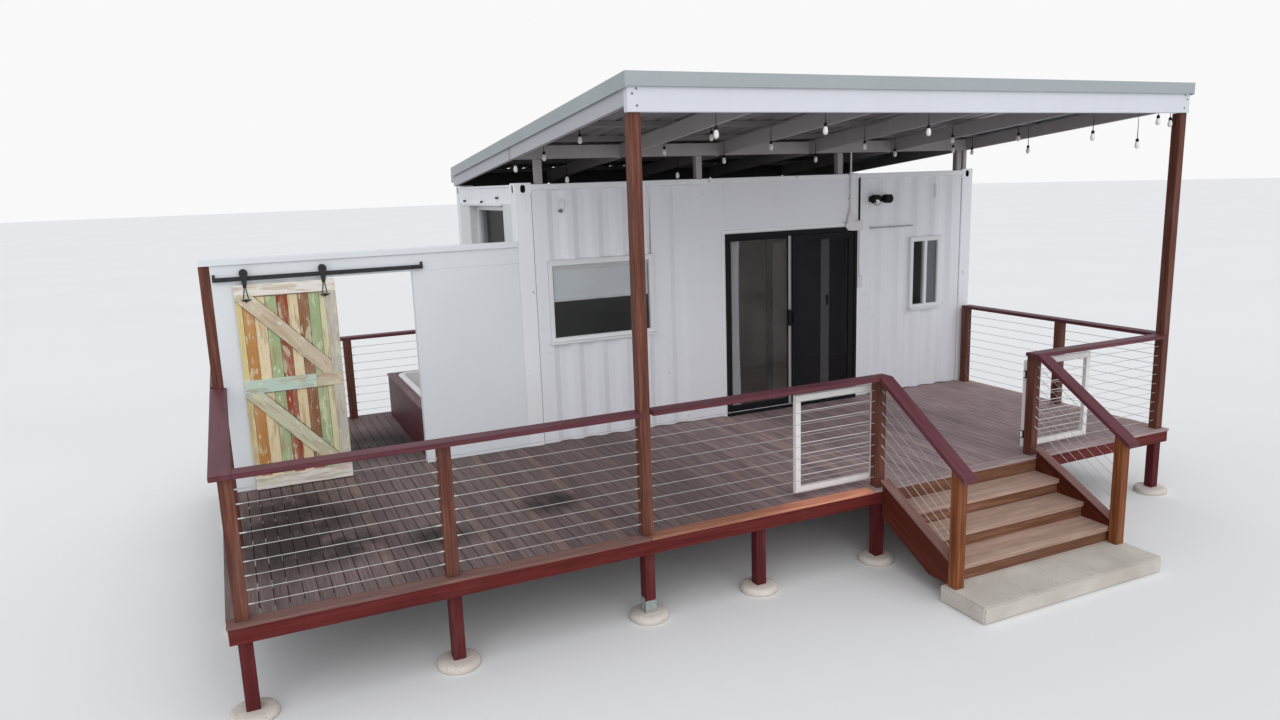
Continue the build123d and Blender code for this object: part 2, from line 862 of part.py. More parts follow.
wire_heights = [z_deck + wire_first + row * wire_spacing for row in range(wire_count)]


def wires_along_x(start, end, y):
    for z in wire_heights:
        wire((start, y, z), (end, y, z))


def wires_along_y(start, end, x):
    for z in wire_heights:
        wire((x, start, z), (x, end, z))


with BuildPart() as wires_front_left:
    wires_along_x(x_first + half_post, x_left + second_post - half_post, y_posts)
    wires_along_x(x_left + second_post + half_post, x_roof_left - half_post, y_posts)
    wires_along_x(x_roof_left + half_post, x_stair_left - half_post, y_posts)

with BuildPart() as wires_front_right:
    wires_along_x(x_stair_right + half_post, x_roof_right - half_post, y_posts)

with BuildPart() as wires_left:
    wires_along_y(y_posts + half_post, y_left_middle - half_post, x_first)
    wires_along_y(y_left_middle + half_post, y_front, x_first)
    wires_along_y(y_front + screen_thickness, y_side_middle - half_post, x_first)
    wires_along_y(y_side_middle + half_post, y_rear - half_post, x_first)

with BuildPart() as wires_right:
    wires_along_y(y_posts + half_post, y_right_middle - half_post, x_last)
    wires_along_y(y_right_middle + half_post, y_right_end - half_post, x_last)

with BuildPart() as wires_rear:
    wires_along_x(x_first + half_post, x_rear_middle - half_post, y_rear)
    wires_along_x(x_rear_middle + half_post, x_rear_right - half_post, y_rear)


def stair_wires(x):
    """Wires beside the stair, parallel to its handrail, their ends cut plumb at the posts."""
    start_y = y_posts - half_post
    end_y = newel_y[1]
    lead = half_post / 2
    rise = lead * stair_rail_slope
    low = stringer_line(end_y) + 3 * stringer_cap_thickness
    for start_z in wire_heights:
        end_z = start_z - (start_y - end_y) * stair_rail_slope
        if end_z > low:
            wire((x, start_y + lead, start_z + rise), (x, end_y - lead, end_z - rise))
    block(around(x, post_size), (end_y + seat, start_y - seat), (z_slab, z_handrail), Mode.INTERSECT)


with BuildPart() as wires_stair_left:
    stair_wires(x_stair_left)

with BuildPart() as wires_stair_right:
    stair_wires(x_stair_right)

# Gates, folded back against the balustrade
gate_low_y = y_posts + half_post + running
gate_y = (gate_low_y, gate_low_y + gate_thickness)
y_hinge = sum(gate_y) / 2
stair_clear = x_stair_right - x_stair_left - post_size
gate_width = (stair_clear - 2 * gate_hinge_gap - gate_meeting_gap) / 2
gate_z = (z_deck + gate_bottom, z_deck + gate_top)
x_hinge_left = x_stair_left + half_post
x_hinge_right = x_stair_right - half_post
hinge_heights = (gate_z[0] + hinge_inset, gate_z[1] - hinge_inset)
sleeve_height = hinge_height - 2 * (hinge_ear + seat)


def gate(x_hinge, side):
    """A gate leaf: a square frame with level wires, its hinge sleeves and its latch."""
    near = x_hinge + side * gate_hinge_gap
    far = near + side * gate_width
    x = (min(near, far), max(near, far))
    block(x, gate_y, gate_z)
    block(inset(x, gate_bar), gate_y, inset(gate_z, gate_bar), Mode.SUBTRACT)
    clear = gate_z[1] - gate_z[0] - 2 * gate_bar
    size = 2 * wire_radius
    for row in range(gate_wires):
        z = gate_z[0] + gate_bar + (row + 1) * clear / (gate_wires + 1)
        block(inset(x, gate_bar / 2), around(y_hinge, size), around(z, size))
    web_x = sorted((x_hinge, near + side * size))
    for z in hinge_heights:
        with Locations((x_hinge, y_hinge, z)):
            Cylinder(hinge_sleeve_radius, sleeve_height)
        block(web_x, around(y_hinge, hinge_sleeve_radius), around(z, sleeve_height))
        with Locations((x_hinge, y_hinge, z)):
            Cylinder(hinge_pin_radius + seat, sleeve_height, mode=Mode.SUBTRACT)
    latch_x = sorted((far - side * gate_bar / 2, far - side * (gate_bar / 2 + latch_width)))
    latch_y = (gate_y[1], gate_y[1] + latch_depth)
    block(latch_x, latch_y, (gate_z[0], gate_z[0] + latch_height))


with BuildPart() as left_gate:
    gate(x_hinge_left, -1)

with BuildPart() as right_gate:
    gate(x_hinge_right, 1)

with BuildPart() as gate_hinges:
    plate_y = (y_posts + half_post + seat, y_posts + half_post + hinge_plate)
    ear_y = (plate_y[0], y_hinge + hinge_ear)
    for x, side in ((x_hinge_left, -1), (x_hinge_right, 1)):
        plate_x = sorted((x + side * half_post, x - side * hinge_ear))
        ear_x = sorted((x + side * (hinge_ear + 2), x - side * hinge_ear))
        for z in hinge_heights:
            span = around(z, hinge_height)
            block(plate_x, plate_y, span)
            block(ear_x, ear_y, (span[0], span[0] + hinge_ear))
            block(ear_x, ear_y, (span[1] - hinge_ear, span[1]))
            with BuildSketch(Plane.XY.offset(span[0])):
                with Locations((x, y_hinge)):
                    Circle(hinge_pin_radius)
            extrude(amount=hinge_height)

# Skillion roof
z_rafter_back = z_top + seat


def rafter_line(y):
    """Height of the rafters' underside."""
    return z_rafter_back + (y_back - y) * roof_fall


beam_y = (y_post_face - beam_thickness + post_size / 2, y_post_face + post_size / 2)
roof_x = (x_roof_left - half_post - beam_left_overhang, x_roof_right + half_post + beam_right_overhang)
roof_back = y_back + roof_back_overhang
beam_top = rafter_line(beam_y[1]) + rafter_depth + purlin_depth
beam_z = (beam_top - beam_depth, beam_top)
with BuildPart() as front_beam:
    block(roof_x, beam_y, beam_z)

mid_y = (y_front + mid_beam_offset, y_front + mid_beam_offset + beam_thickness)
mid_z = (rafter_line(mid_y[0]), rafter_line(mid_y[1]) + rafter_depth)
with BuildPart() as mid_beam:
    block(roof_x, mid_y, mid_z)
    for offset in stub_offsets:
        stub_y = around(sum(mid_y) / 2, stub_size)
        block(around(x_left + offset, stub_size), stub_y, (z_rail_top, mid_z[0] - seat))
    bracket_x = around(x_left + end_bracket_offset, end_bracket_size)
    block(bracket_x, around(sum(mid_y) / 2, end_bracket_size), (z_top, mid_z[0] - seat))


def sloping_bar(start, end, bottom, top):
    """A bar that follows the roof's fall, its ends cut plumb."""
    points = (
        (start, rafter_line(start) + bottom),
        (end, rafter_line(end) + bottom),
        (end, rafter_line(end) + top),
        (start, rafter_line(start) + top),
    )
    return Polyline(*points, close=True)


rafter_step = (roof_x[1] - roof_x[0] - rafter_thickness) / (rafter_count - 1)
with BuildPart() as rafters:
    for row in range(rafter_count):
        x = roof_x[0] + row * rafter_step
        for start, end in ((beam_y[1] + seat, mid_y[0] - seat), (mid_y[1] + seat, roof_back)):
            with BuildSketch(Plane.YZ.offset(x)):
                with BuildLine():
                    sloping_bar(start, end, 0, rafter_depth)
                make_face()
            extrude(amount=rafter_thickness)

# Blocking between the rafters on the container's rear rail
with BuildPart() as rear_blocking:
    blocking_y = (y_back - top_rail_width, y_back - top_rail_width + rafter_thickness)
    for row in range(rafter_count - 1):
        left = roof_x[0] + row * rafter_step + rafter_thickness + seat
        with BuildSketch(Plane.YZ.offset(left)):
            with BuildLine():
                Polyline(
                    (blocking_y[0], z_rail_top),
                    (blocking_y[1], z_rail_top),
                    (blocking_y[1], rafter_line(blocking_y[1]) + rafter_depth),
                    (blocking_y[0], rafter_line(blocking_y[0]) + rafter_depth),
                    close=True,
                )
            make_face()
        extrude(amount=rafter_step - rafter_thickness - 2 * seat)
    for end in (x_left, x_right):
        notch_x = around(end, 2 * (casting_length + seat))
        block(notch_x, blocking_y, (z_rail_top, z_top + seat), Mode.SUBTRACT)

with BuildPart() as purlins:
    first = beam_y[1] + seat
    purlin_step = (roof_back - purlin_width - first) / (purlin_count - 1)
    for row in range(purlin_count):
        start = first + row * purlin_step
        with BuildSketch(Plane.YZ.offset(roof_x[0])):
            with BuildLine():
                low = rafter_depth + seat
                sloping_bar(start, start + purlin_width, low, low + purlin_depth - 2 * seat)
            make_face()
        extrude(amount=roof_x[1] - roof_x[0])

# Roof sheet, drawn across its ribs on a plane square to the fall
fall_angle = math.atan(roof_fall)
sheet_lift = rafter_depth + purlin_depth
sheet_origin = (0, roof_back, rafter_line(roof_back) + sheet_lift)
sheet_plane = Plane(
    origin=sheet_origin,
    x_dir=(1, 0, 0),
    z_dir=(0, -math.cos(fall_angle), math.sin(fall_angle)),
)
sheet_length = (roof_back - beam_y[0]) / math.cos(fall_angle)


def sheet_points(lift):
    """Points across the ribbed sheet from left to right."""
    count = int((roof_x[1] - roof_x[0]) // sheet_rib_pitch)
    pitch = (roof_x[1] - roof_x[0]) / count
    points = [(roof_x[0], lift)]
    for rib in range(count):
        middle = roof_x[0] + (rib + 0.5) * pitch
        points.append((middle - sheet_rib_base / 2, lift))
        points.append((middle - sheet_rib_top / 2, lift + sheet_rib_height))
        points.append((middle + sheet_rib_top / 2, lift + sheet_rib_height))
        points.append((middle + sheet_rib_base / 2, lift))
    points.append((roof_x[1], lift))
    return points


with BuildPart() as roof_sheet:
    with BuildSketch(sheet_plane):
        with BuildLine():
            lower = sheet_points(0)
            upper = sheet_points(sheet_thickness)
            Polyline(*upper, *reversed(lower), close=True)
        make_face()
    extrude(amount=sheet_length)

# Roof cappings over the sheet's edges, and the gutter along its low edge
cap_top = sheet_lift + (sheet_rib_height + sheet_thickness) / math.cos(fall_angle) + seat
with BuildPart() as roof_cappings:
    outer = beam_y[0] - cap_overhang
    inner = outer + cap_flange
    with BuildSketch(Plane.YZ.offset(roof_x[0] - cap_overhang)):
        with BuildLine():
            Polyline(
                (outer, rafter_line(outer) + cap_top - front_cap_depth),
                (outer, rafter_line(outer) + cap_top + cap_thickness),
                (inner, rafter_line(inner) + cap_top + cap_thickness),
                (inner, rafter_line(inner) + cap_top),
                (outer + cap_thickness, rafter_line(outer + cap_thickness) + cap_top),
                (outer + cap_thickness, rafter_line(outer) + cap_top - front_cap_depth),
                close=True,
            )
        make_face()
    extrude(amount=roof_x[1] - roof_x[0] + 2 * cap_overhang)
    for side, edge in ((1, roof_x[0] - cap_overhang), (-1, roof_x[1] + cap_overhang)):
        flange_x = sorted((edge, edge + side * cap_flange))
        leg_x = sorted((edge, edge + side * cap_thickness))
        start = inner + seat
        for x, low in ((flange_x, cap_top), (leg_x, cap_top + cap_thickness - side_cap_depth)):
            with BuildSketch(Plane.YZ.offset(x[0])):
                with BuildLine():
                    sloping_bar(start, roof_back, low, cap_top + cap_thickness)
                make_face()
            extrude(amount=x[1] - x[0])

with BuildPart() as rear_gutter:
    gutter_y = (roof_back + seat, roof_back + seat + gutter_width)
    gutter_top = rafter_line(roof_back) + rafter_depth
    gutter_z = (gutter_top - gutter_depth, gutter_top)
    block(roof_x, gutter_y, gutter_z)
    channel_z = (gutter_z[0] + gutter_wall, gutter_z[1])
    block(inset(roof_x, gutter_wall), inset(gutter_y, gutter_wall), channel_z, Mode.SUBTRACT)

x_screen_left = x_left - screen_left
z_screen = z_deck + screen_height
screen_y_span = (y_front, y_front + screen_thickness)
with BuildPart() as tall_posts:
    for x in (x_roof_left, x_roof_right):
        block(around(x, post_size), around(y_posts, post_size), (z_deck, beam_z[0] - seat))
    end_post_x = (x_screen_left - post_size, x_screen_left)
    block(end_post_x, screen_y_span, (z_deck, z_screen - seat))

# Screen wall
x_opening = (x_left - screen_opening_left, x_left - screen_opening_right)
z_opening = z_deck + screen_opening_height
x_screen_right = x_left - seat
with BuildPart() as screen_wall_left:
    block((x_screen_left + seat, x_opening[0]), screen_y_span, (z_deck, z_opening))

with BuildPart() as screen_wall_right:
    block((x_opening[1], x_screen_right), screen_y_span, (z_deck, z_opening))

with BuildPart() as screen_wall_head:
    head_x = (x_screen_left + seat, x_screen_right)
    block(head_x, screen_y_span, (z_opening + seat, z_screen))
    cap_x = (x_screen_left - post_size - seat, x_screen_right)
    cap_y = around(sum(screen_y_span) / 2, screen_cap_width)
    block(cap_x, cap_y, (z_screen, z_screen + screen_cap_height))

# Barn door, its track and hangers
door_back = y_front - barn_door_gap
board_y = (door_back - barn_door_thickness, door_back)
face_y = (board_y[0] - barn_frame_thickness, board_y[0])
barn_x = (x_left - barn_door_left, x_left - barn_door_left + barn_door_width)
barn_z = (z_deck + barn_door_bottom, z_deck + barn_door_top)
mid_rail_z = (z_deck + barn_mid_rail_low, z_deck + barn_mid_rail_high)


def brace(low_z, high_z):
    """A brace from the upper left to the lower right of a panel, cut to its rails and stile."""
    left = barn_x[0]
    right = barn_x[1] - barn_stile
    fall = (high_z - barn_brace_drop - low_z) / (right - barn_brace_cut - left)
    plumb = barn_brace * math.hypot(1, fall)
    Polyline(
        (left, high_z),
        (left, high_z - barn_brace_drop),
        (right - barn_brace_cut, low_z),
        (right, low_z),
        (right, low_z + plumb - barn_brace_cut * fall),
        (left + (plumb - barn_brace_drop) / fall, high_z),
        close=True,
    )


with BuildPart() as barn_door:
    block(barn_x, board_y, barn_z)
    block((barn_x[1] - barn_stile, barn_x[1]), face_y, barn_z)
    block(barn_x, face_y, (barn_z[1] - barn_top_rail, barn_z[1]))
    block(barn_x, face_y, mid_rail_z)
    block(barn_x, face_y, (barn_z[0], barn_z[0] + barn_bottom_rail))
    brace_spans = (
        (mid_rail_z[1], barn_z[1] - barn_top_rail),
        (barn_z[0] + barn_bottom_rail, mid_rail_z[0]),
    )
    for low_z, high_z in brace_spans:
        with BuildSketch(Plane.XZ.offset(-face_y[1])):
            with BuildLine():
                brace(low_z, high_z)
            make_face()
        extrude(amount=barn_frame_thickness)

track_middle = board_y[0] + barn_door_thickness / 2
track_y = around(track_middle, track_thickness)
track_z = (z_deck + track_bottom, z_deck + track_bottom + track_height)
with BuildPart() as door_track:
    block((x_left - track_left, x_left - track_right), track_y, track_z)
    spacer_step = (track_left - track_right - 2 * hanger_inset) / (spacer_count - 1)
    with BuildSketch(Plane.XZ.offset(-y_front + seat)):
        for row in range(spacer_count):
            with Locations((x_left - track_left + hanger_inset + row * spacer_step, sum(track_z) / 2)):
                RegularPolygon(spacer_radius, bolt_sides)
    extrude(amount=y_front - seat - track_y[1])

with BuildPart() as door_hangers:
    wheel_z = track_z[1] + wheel_radius + seat
    strap_y = (face_y[0] - seat - hanger_thickness, face_y[0] - seat)
    for x in (barn_x[0] + hanger_inset, barn_x[1] - hanger_inset):
        block(around(x, hanger_width), strap_y, (z_deck + hanger_low, wheel_z))
        with BuildSketch(Plane.XZ.offset(-strap_y[1])):
            with Locations((x, wheel_z)):
                Circle(hanger_width / 2)
        extrude(amount=hanger_thickness)
        with BuildSketch(Plane.XZ.offset(-track_middle - wheel_width / 2)):
            with Locations((x, wheel_z)):
                Circle(wheel_radius)
        extrude(amount=wheel_width)
        with BuildSketch(Plane.XZ.offset(-track_middle)):
            with Locations((x, wheel_z)):
                RegularPolygon(spacer_radius, bolt_sides)
        extrude(amount=track_middle - strap_y[0])

# Bath and its surround
bath_x = (x_left - bath_left, x_left - bath_right)
bath_y = (y_front + bath_front, y_front + bath_back)
bath_z = (z_deck, z_deck + bath_height)
tub_x = inset(bath_x, tub_margin)
tub_y = inset(bath_y, tub_margin)
tub_size = (tub_x[1] - tub_x[0], tub_y[1] - tub_y[0])
tub_middle = (sum(tub_x) / 2, sum(tub_y) / 2)
with BuildPart() as bath_surround:
    block(bath_x, bath_y, bath_z)
    block(inset(bath_x, bath_board), inset(bath_y, bath_board), (z_deck, bath_z[1] - bath_board), Mode.SUBTRACT)
    with BuildSketch(Plane.XY.offset(bath_z[1] - bath_board)):
        with Locations(tub_middle):
            RectangleRounded(tub_size[0] + 2 * seat, tub_size[1] + 2 * seat, tub_corner)
    extrude(amount=bath_board, mode=Mode.SUBTRACT)

with BuildPart() as bath_tub:
    tub_low = bath_z[1] - tub_depth
    with BuildSketch(Plane.XY.offset(tub_low)):
        with Locations(tub_middle):
            RectangleRounded(*tub_size, tub_corner)
    extrude(amount=tub_depth)
    with BuildSketch(Plane.XY.offset(bath_z[1] + seat)):
        with Locations(tub_middle):
            rim = 2 * tub_rim_width
            RectangleRounded(tub_size[0] + rim, tub_size[1] + rim, tub_corner + tub_rim_width)
    extrude(amount=tub_rim_height)
    with BuildSketch(Plane.XY.offset(tub_low)):
        with Locations(tub_middle):
            RectangleRounded(*tub_size, tub_corner)
    extrude(amount=tub_depth + seat)
    with BuildSketch(Plane.XY.offset(tub_low + tub_wall)):
        with Locations(tub_middle):
            wall = 2 * tub_wall
            RectangleRounded(tub_size[0] - wall, tub_size[1] - wall, tub_corner - tub_wall)
    extrude(amount=tub_depth + tub_rim_height, mode=Mode.SUBTRACT)

# Wall fittings: conduit with its bracket, and the twin flood light
fitting_face = y_front + wall_inset - seat
with BuildPart() as wall_conduit:
    x_conduit = x_left + conduit_offset
    bracket_top = door_top + trim_width + running + conduit_bracket_height
    bracket_z = (bracket_top - conduit_bracket_height, bracket_top)
    bracket_y = (fitting_face - 3 * conduit_radius, fitting_face)
    block(around(x_conduit, conduit_bracket_width), bracket_y, bracket_z)
    with BuildSketch(Plane.XY.offset(bracket_z[1])):
        with Locations((x_conduit, y_front - conduit_radius)):
            Circle(conduit_radius)
    extrude(amount=mid_z[0] - seat - bracket_z[1])

with BuildPart() as flood_light:
    x_flood = x_left + flood_offset
    z_flood = z_deck + flood_height
    plate_y = (fitting_face - flood_base_depth, fitting_face)
    block(around(x_flood, 3 * flood_spread), plate_y, around(z_flood, 2 * flood_base_depth))
    for side in (-1, 1):
        with BuildSketch(Plane.XZ.offset(-plate_y[0])):
            with Locations((x_flood + side * flood_spread, z_flood)):
                Circle(flood_head_radius)
        extrude(amount=flood_head_length)

pieces = {
    "corner_castings": corner_castings,
    "corner_posts": corner_posts,
    "top_rails": top_rails,
    "bottom_rails": bottom_rails,
    "cabin_floor": cabin_floor,
    "front_wall_left": front_wall_left,
    "front_wall_over_door": front_wall_over_door,
    "front_wall_right": front_wall_right,
    "back_wall": back_wall,
    "right_end_wall": right_end_wall,
    "left_end_wall": left_end_wall,
    "container_roof": container_roof,
    "window_frames": window_frames,
    "fixed_glass": fixed_glass,
    "window_blind": window_blind,
    "door_frame": door_frame,
    "door_trim": door_trim,
    "sliding_door_panel": sliding_door_panel,
    "sliding_door_glass": sliding_door_glass,
    "screen_door_frame": screen_door_frame,
    "screen_door_mesh": screen_door_mesh,
    "deck_boards": deck_boards,
    "deck_frame": deck_frame,
    "deck_fascias": deck_fascias,
    "deck_stumps": deck_stumps,
    "footings": footings,
    "stair_steps": stair_steps,
    "stair_stringers": stair_stringers,
    "landing_slab": landing_slab,
    "balustrade_posts": balustrade_posts,
    "handrails": handrails,
    "wires_front_left": wires_front_left,
    "wires_front_right": wires_front_right,
    "wires_left": wires_left,
    "wires_right": wires_right,
    "wires_rear": wires_rear,
    "wires_stair_left": wires_stair_left,
    "wires_stair_right": wires_stair_right,
    "left_gate": left_gate,
    "right_gate": right_gate,
    "gate_hinges": gate_hinges,
    "front_beam": front_beam,
    "mid_beam": mid_beam,
    "rafters": rafters,
    "rear_blocking": rear_blocking,
    "purlins": purlins,
    "roof_sheet": roof_sheet,
    "tall_posts": tall_posts,
    "roof_cappings": roof_cappings,
    "rear_gutter": rear_gutter,
    "screen_wall_left": screen_wall_left,
    "screen_wall_right": screen_wall_right,
    "screen_wall_head": screen_wall_head,
    "barn_door": barn_door,
    "door_track": door_track,
    "door_hangers": door_hangers,
    "bath_surround": bath_surround,
    "bath_tub": bath_tub,
    "wall_conduit": wall_conduit,
    "flood_light": flood_light,
}
for label, piece in pieces.items():
    piece.part.label = label
    export_step(piece.part, f"parts/{label}.step")
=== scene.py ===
import json
import math
import random

import bmesh
import bpy
import numpy as np
from mathutils import Matrix, Vector, noise

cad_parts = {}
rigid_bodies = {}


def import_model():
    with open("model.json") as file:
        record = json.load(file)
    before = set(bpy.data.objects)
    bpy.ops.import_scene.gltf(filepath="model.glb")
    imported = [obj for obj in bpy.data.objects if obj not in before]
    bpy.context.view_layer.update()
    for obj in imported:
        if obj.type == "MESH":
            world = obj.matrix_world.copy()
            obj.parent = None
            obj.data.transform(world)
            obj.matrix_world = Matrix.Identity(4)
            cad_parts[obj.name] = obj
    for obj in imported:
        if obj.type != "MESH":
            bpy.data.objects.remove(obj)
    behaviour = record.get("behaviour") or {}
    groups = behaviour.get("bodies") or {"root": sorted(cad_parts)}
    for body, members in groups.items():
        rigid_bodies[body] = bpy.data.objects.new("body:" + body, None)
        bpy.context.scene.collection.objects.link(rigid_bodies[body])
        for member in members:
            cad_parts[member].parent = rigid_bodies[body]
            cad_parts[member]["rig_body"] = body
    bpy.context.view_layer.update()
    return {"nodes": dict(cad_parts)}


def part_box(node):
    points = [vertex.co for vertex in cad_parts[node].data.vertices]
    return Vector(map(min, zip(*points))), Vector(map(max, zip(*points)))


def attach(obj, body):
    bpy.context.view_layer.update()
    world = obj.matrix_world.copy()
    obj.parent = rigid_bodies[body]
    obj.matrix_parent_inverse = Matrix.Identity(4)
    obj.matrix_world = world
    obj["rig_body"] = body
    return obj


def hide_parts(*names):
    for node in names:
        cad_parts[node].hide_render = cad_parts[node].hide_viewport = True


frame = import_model()
NODES = frame["nodes"]
rng = random.Random(11)


def at(x, y, z):
    """A place given in metres from the container's left end, its front face and the deck."""
    return Vector((x - 0.089, y - 0.081, z + 0.7))


# Materials


class Finish:
    """A procedural material: small helpers round the Principled shader."""

    def __init__(self, name, roughness=0.6, metallic=0.0, gloss=0.5):
        self.material = bpy.data.materials.new(name)
        self.material.use_nodes = True
        self.tree = self.material.node_tree
        self.shader = self.tree.nodes["Principled BSDF"]
        self.fill(self.shader, Roughness=roughness, Metallic=metallic, Specular_IOR_Level=gloss)
        self.place = self.add("ShaderNodeTexCoord").outputs["Object"]

    def add(self, kind, settings=None, **inputs):
        made = self.tree.nodes.new(kind)
        for key, value in (settings or {}).items():
            setattr(made, key, value)
        self.fill(made, **inputs)
        return made

    def fill(self, node, **inputs):
        for key, value in inputs.items():
            self.feed(node.inputs[key.replace("_", " ")], value)

    def feed(self, socket, value):
        """Links a socket or sets its constant."""
        if isinstance(value, bpy.types.NodeSocket):
            self.tree.links.new(value, socket)
        elif isinstance(value, (tuple, list)) and len(value) == 3 and socket.type == "RGBA":
            socket.default_value = (*value, 1.0)
        else:
            socket.default_value = value

    def attribute(self, name, output="Fac"):
        return self.add("ShaderNodeAttribute", {"attribute_name": name}).outputs[output]

    def component(self, vector, axis):
        return self.add("ShaderNodeSeparateXYZ", Vector=vector).outputs[axis]

    def noise(self, scale, detail=3.0, source=None, stretch=None, distortion=0.0):
        source = source or self.place
        if stretch:
            source = self.add("ShaderNodeMapping", Vector=source, Scale=stretch).outputs["Vector"]
        inputs = dict(Vector=source, Scale=scale, Detail=detail, Distortion=distortion)
        return self.add("ShaderNodeTexNoise", **inputs).outputs["Fac"]

    def wave(self, direction, scale, source=None, distortion=0.0):
        inputs = dict(Vector=source or self.place, Scale=scale, Distortion=distortion)
        settings = {"bands_direction": direction}
        return self.add("ShaderNodeTexWave", settings, **inputs).outputs["Fac"]

    def threads(self, operation, scale, distortion=0.0):
        """Two crossing sets of threads."""
        warp, weft = (self.wave(way, scale, distortion=distortion) for way in "XZ")
        return self.math(operation, warp, weft)

    def ramp(self, factor, *stops):
        node = self.add("ShaderNodeValToRGB", Fac=factor)
        marks = node.color_ramp.elements
        while len(marks) < len(stops):
            marks.new(0.5)
        for mark, (position, colour) in zip(marks, stops):
            mark.position = position
            mark.color = (*(colour if isinstance(colour, tuple) else (colour,) * 3), 1.0)
        return node.outputs["Color"]

    def mask(self, factor, low, high):
        return self.ramp(factor, (low, 0.0), (high, 1.0))

    def patches(self, low, high, *noise_settings):
        """The parts of a noise that rise over its low mark."""
        return self.mask(self.noise(*noise_settings), low, high)

    def span(self, factor, low, high, start=0.0, end=1.0):
        """Carries a factor from start..end over to low..high."""
        inputs = dict(Value=factor, From_Min=start, From_Max=end, To_Min=low, To_Max=high)
        return self.add("ShaderNodeMapRange", **inputs).outputs["Result"]

    def mix(self, factor, a, b, blend="MIX"):
        node = self.add("ShaderNodeMix", {"data_type": "RGBA", "blend_type": blend})
        for socket, value in ((0, factor), (6, a), (7, b)):
            self.feed(node.inputs[socket], value)
        return node.outputs[2]

    def math(self, operation, a, b):
        node = self.add("ShaderNodeMath", {"operation": operation})
        self.feed(node.inputs[0], a)
        self.feed(node.inputs[1], b)
        return node.outputs[0]

    def coat(self, under, over, factor, share):
        """Lays one colour over another by a share of a factor."""
        return self.mix(self.math("MULTIPLY", factor, share), under, over)

    def times(self, colour, by):
        return self.mix(1.0, colour, by, "MULTIPLY")

    def colour(self, value):
        self.fill(self.shader, Base_Color=value)

    def roughness(self, factor, low, high):
        self.fill(self.shader, Roughness=self.span(factor, low, high))

    def alpha(self, factor, low, high):
        self.fill(self.shader, Alpha=self.span(factor, low, high))

    def bump(self, height, strength, distance):
        node = self.add("ShaderNodeBump", Height=height, Strength=strength, Distance=distance)
        normal = self.shader.inputs["Normal"]
        if normal.is_linked:
            self.feed(node.inputs["Normal"], normal.links[0].from_socket)
        self.feed(normal, node.outputs["Normal"])


RUST = (0.22, 0.095, 0.04)
# Stretch of a noise along the grain of wood
FINE_GRAIN = (0.35, 9.0, 9.0)


def timber(name, dark, middle, light, roughness=0.6, weather=0.25, bump=0.25,
           dust=(0.32, 0.28, 0.26), gloss=0.22):
    """Sawn and stained wood: grain along each board, a tint of its own, worn and dusty patches."""
    f = Finish(name, roughness, gloss=gloss)
    grain = f.attribute("grain", "Vector")
    fibres = f.noise(9.0, 6.0, grain, FINE_GRAIN, 0.6)
    rings = f.noise(3.0, 3.0, grain, (0.22, 6.0, 6.0), 1.2)
    tone = f.math("ADD", f.math("MULTIPLY", fibres, 0.5), f.math("MULTIPLY", rings, 0.5))
    shade = f.ramp(tone, (0.32, dark), (0.5, middle), (0.68, light))
    shade = f.coat(shade, f.mix(0.5, shade, dark), f.attribute("tint"), 0.45)
    shade = f.coat(shade, dark, f.patches(0.45, 0.75, 1.7, 4.0), 0.35)
    wear = f.patches(0.56, 0.74, 5.0, 8.0, grain, (0.5, 2.0, 2.0))
    f.colour(f.coat(shade, dust, wear, weather))
    f.roughness(fibres, roughness - 0.12, roughness + 0.15)
    f.bump(fibres, bump, 0.002)
    f.bump(f.noise(2.5, 2.0, grain, (0.3, 3.0, 3.0)), 0.15, 0.006)
    return f.material


def painted(name, base, shade, roughness=0.5, streaks=0.25, rust=0.0, bump=0.08, metallic=0.0,
            gloss=0.5, under=None):
    """Painted sheet or steel: rain streaks, faint patches, scuffs and, where asked, rust and
    painted shade on faces that point down.
    """
    f = Finish(name, roughness, metallic, gloss)
    patch = f.patches(0.35, 0.75, 0.9, 4.0)
    colour = f.coat(base, shade, patch, 0.35)
    streak = f.patches(0.48, 0.74, 2.2, 6.0, None, (4.0, 4.0, 0.22))
    colour = f.coat(colour, shade, streak, streaks)
    colour = f.coat(colour, shade, f.patches(0.66, 0.74, 24.0, 4.0), streaks)
    if rust:
        spots = f.patches(0.69, 0.73, 11.0, 6.0)
        runs = f.patches(0.66, 0.8, 7.0, 3.0, None, (3.0, 3.0, 0.3))
        spots = f.math("MAXIMUM", spots, f.math("MULTIPLY", runs, 0.35))
        colour = f.coat(colour, RUST, spots, rust)
    # Faces that point down take the under colour: painted shade.
    if under:
        up = f.component(f.add("ShaderNodeNewGeometry").outputs["Normal"], "Z")
        colour = f.mix(f.mask(up, 0.05, 0.3), under, colour)
    f.colour(colour)
    f.roughness(patch, roughness - 0.08, roughness + 0.14)
    f.bump(f.noise(30.0, 4.0), bump, 0.004)
    f.bump(f.noise(1.4, 2.0), bump, 0.03)
    return f.material


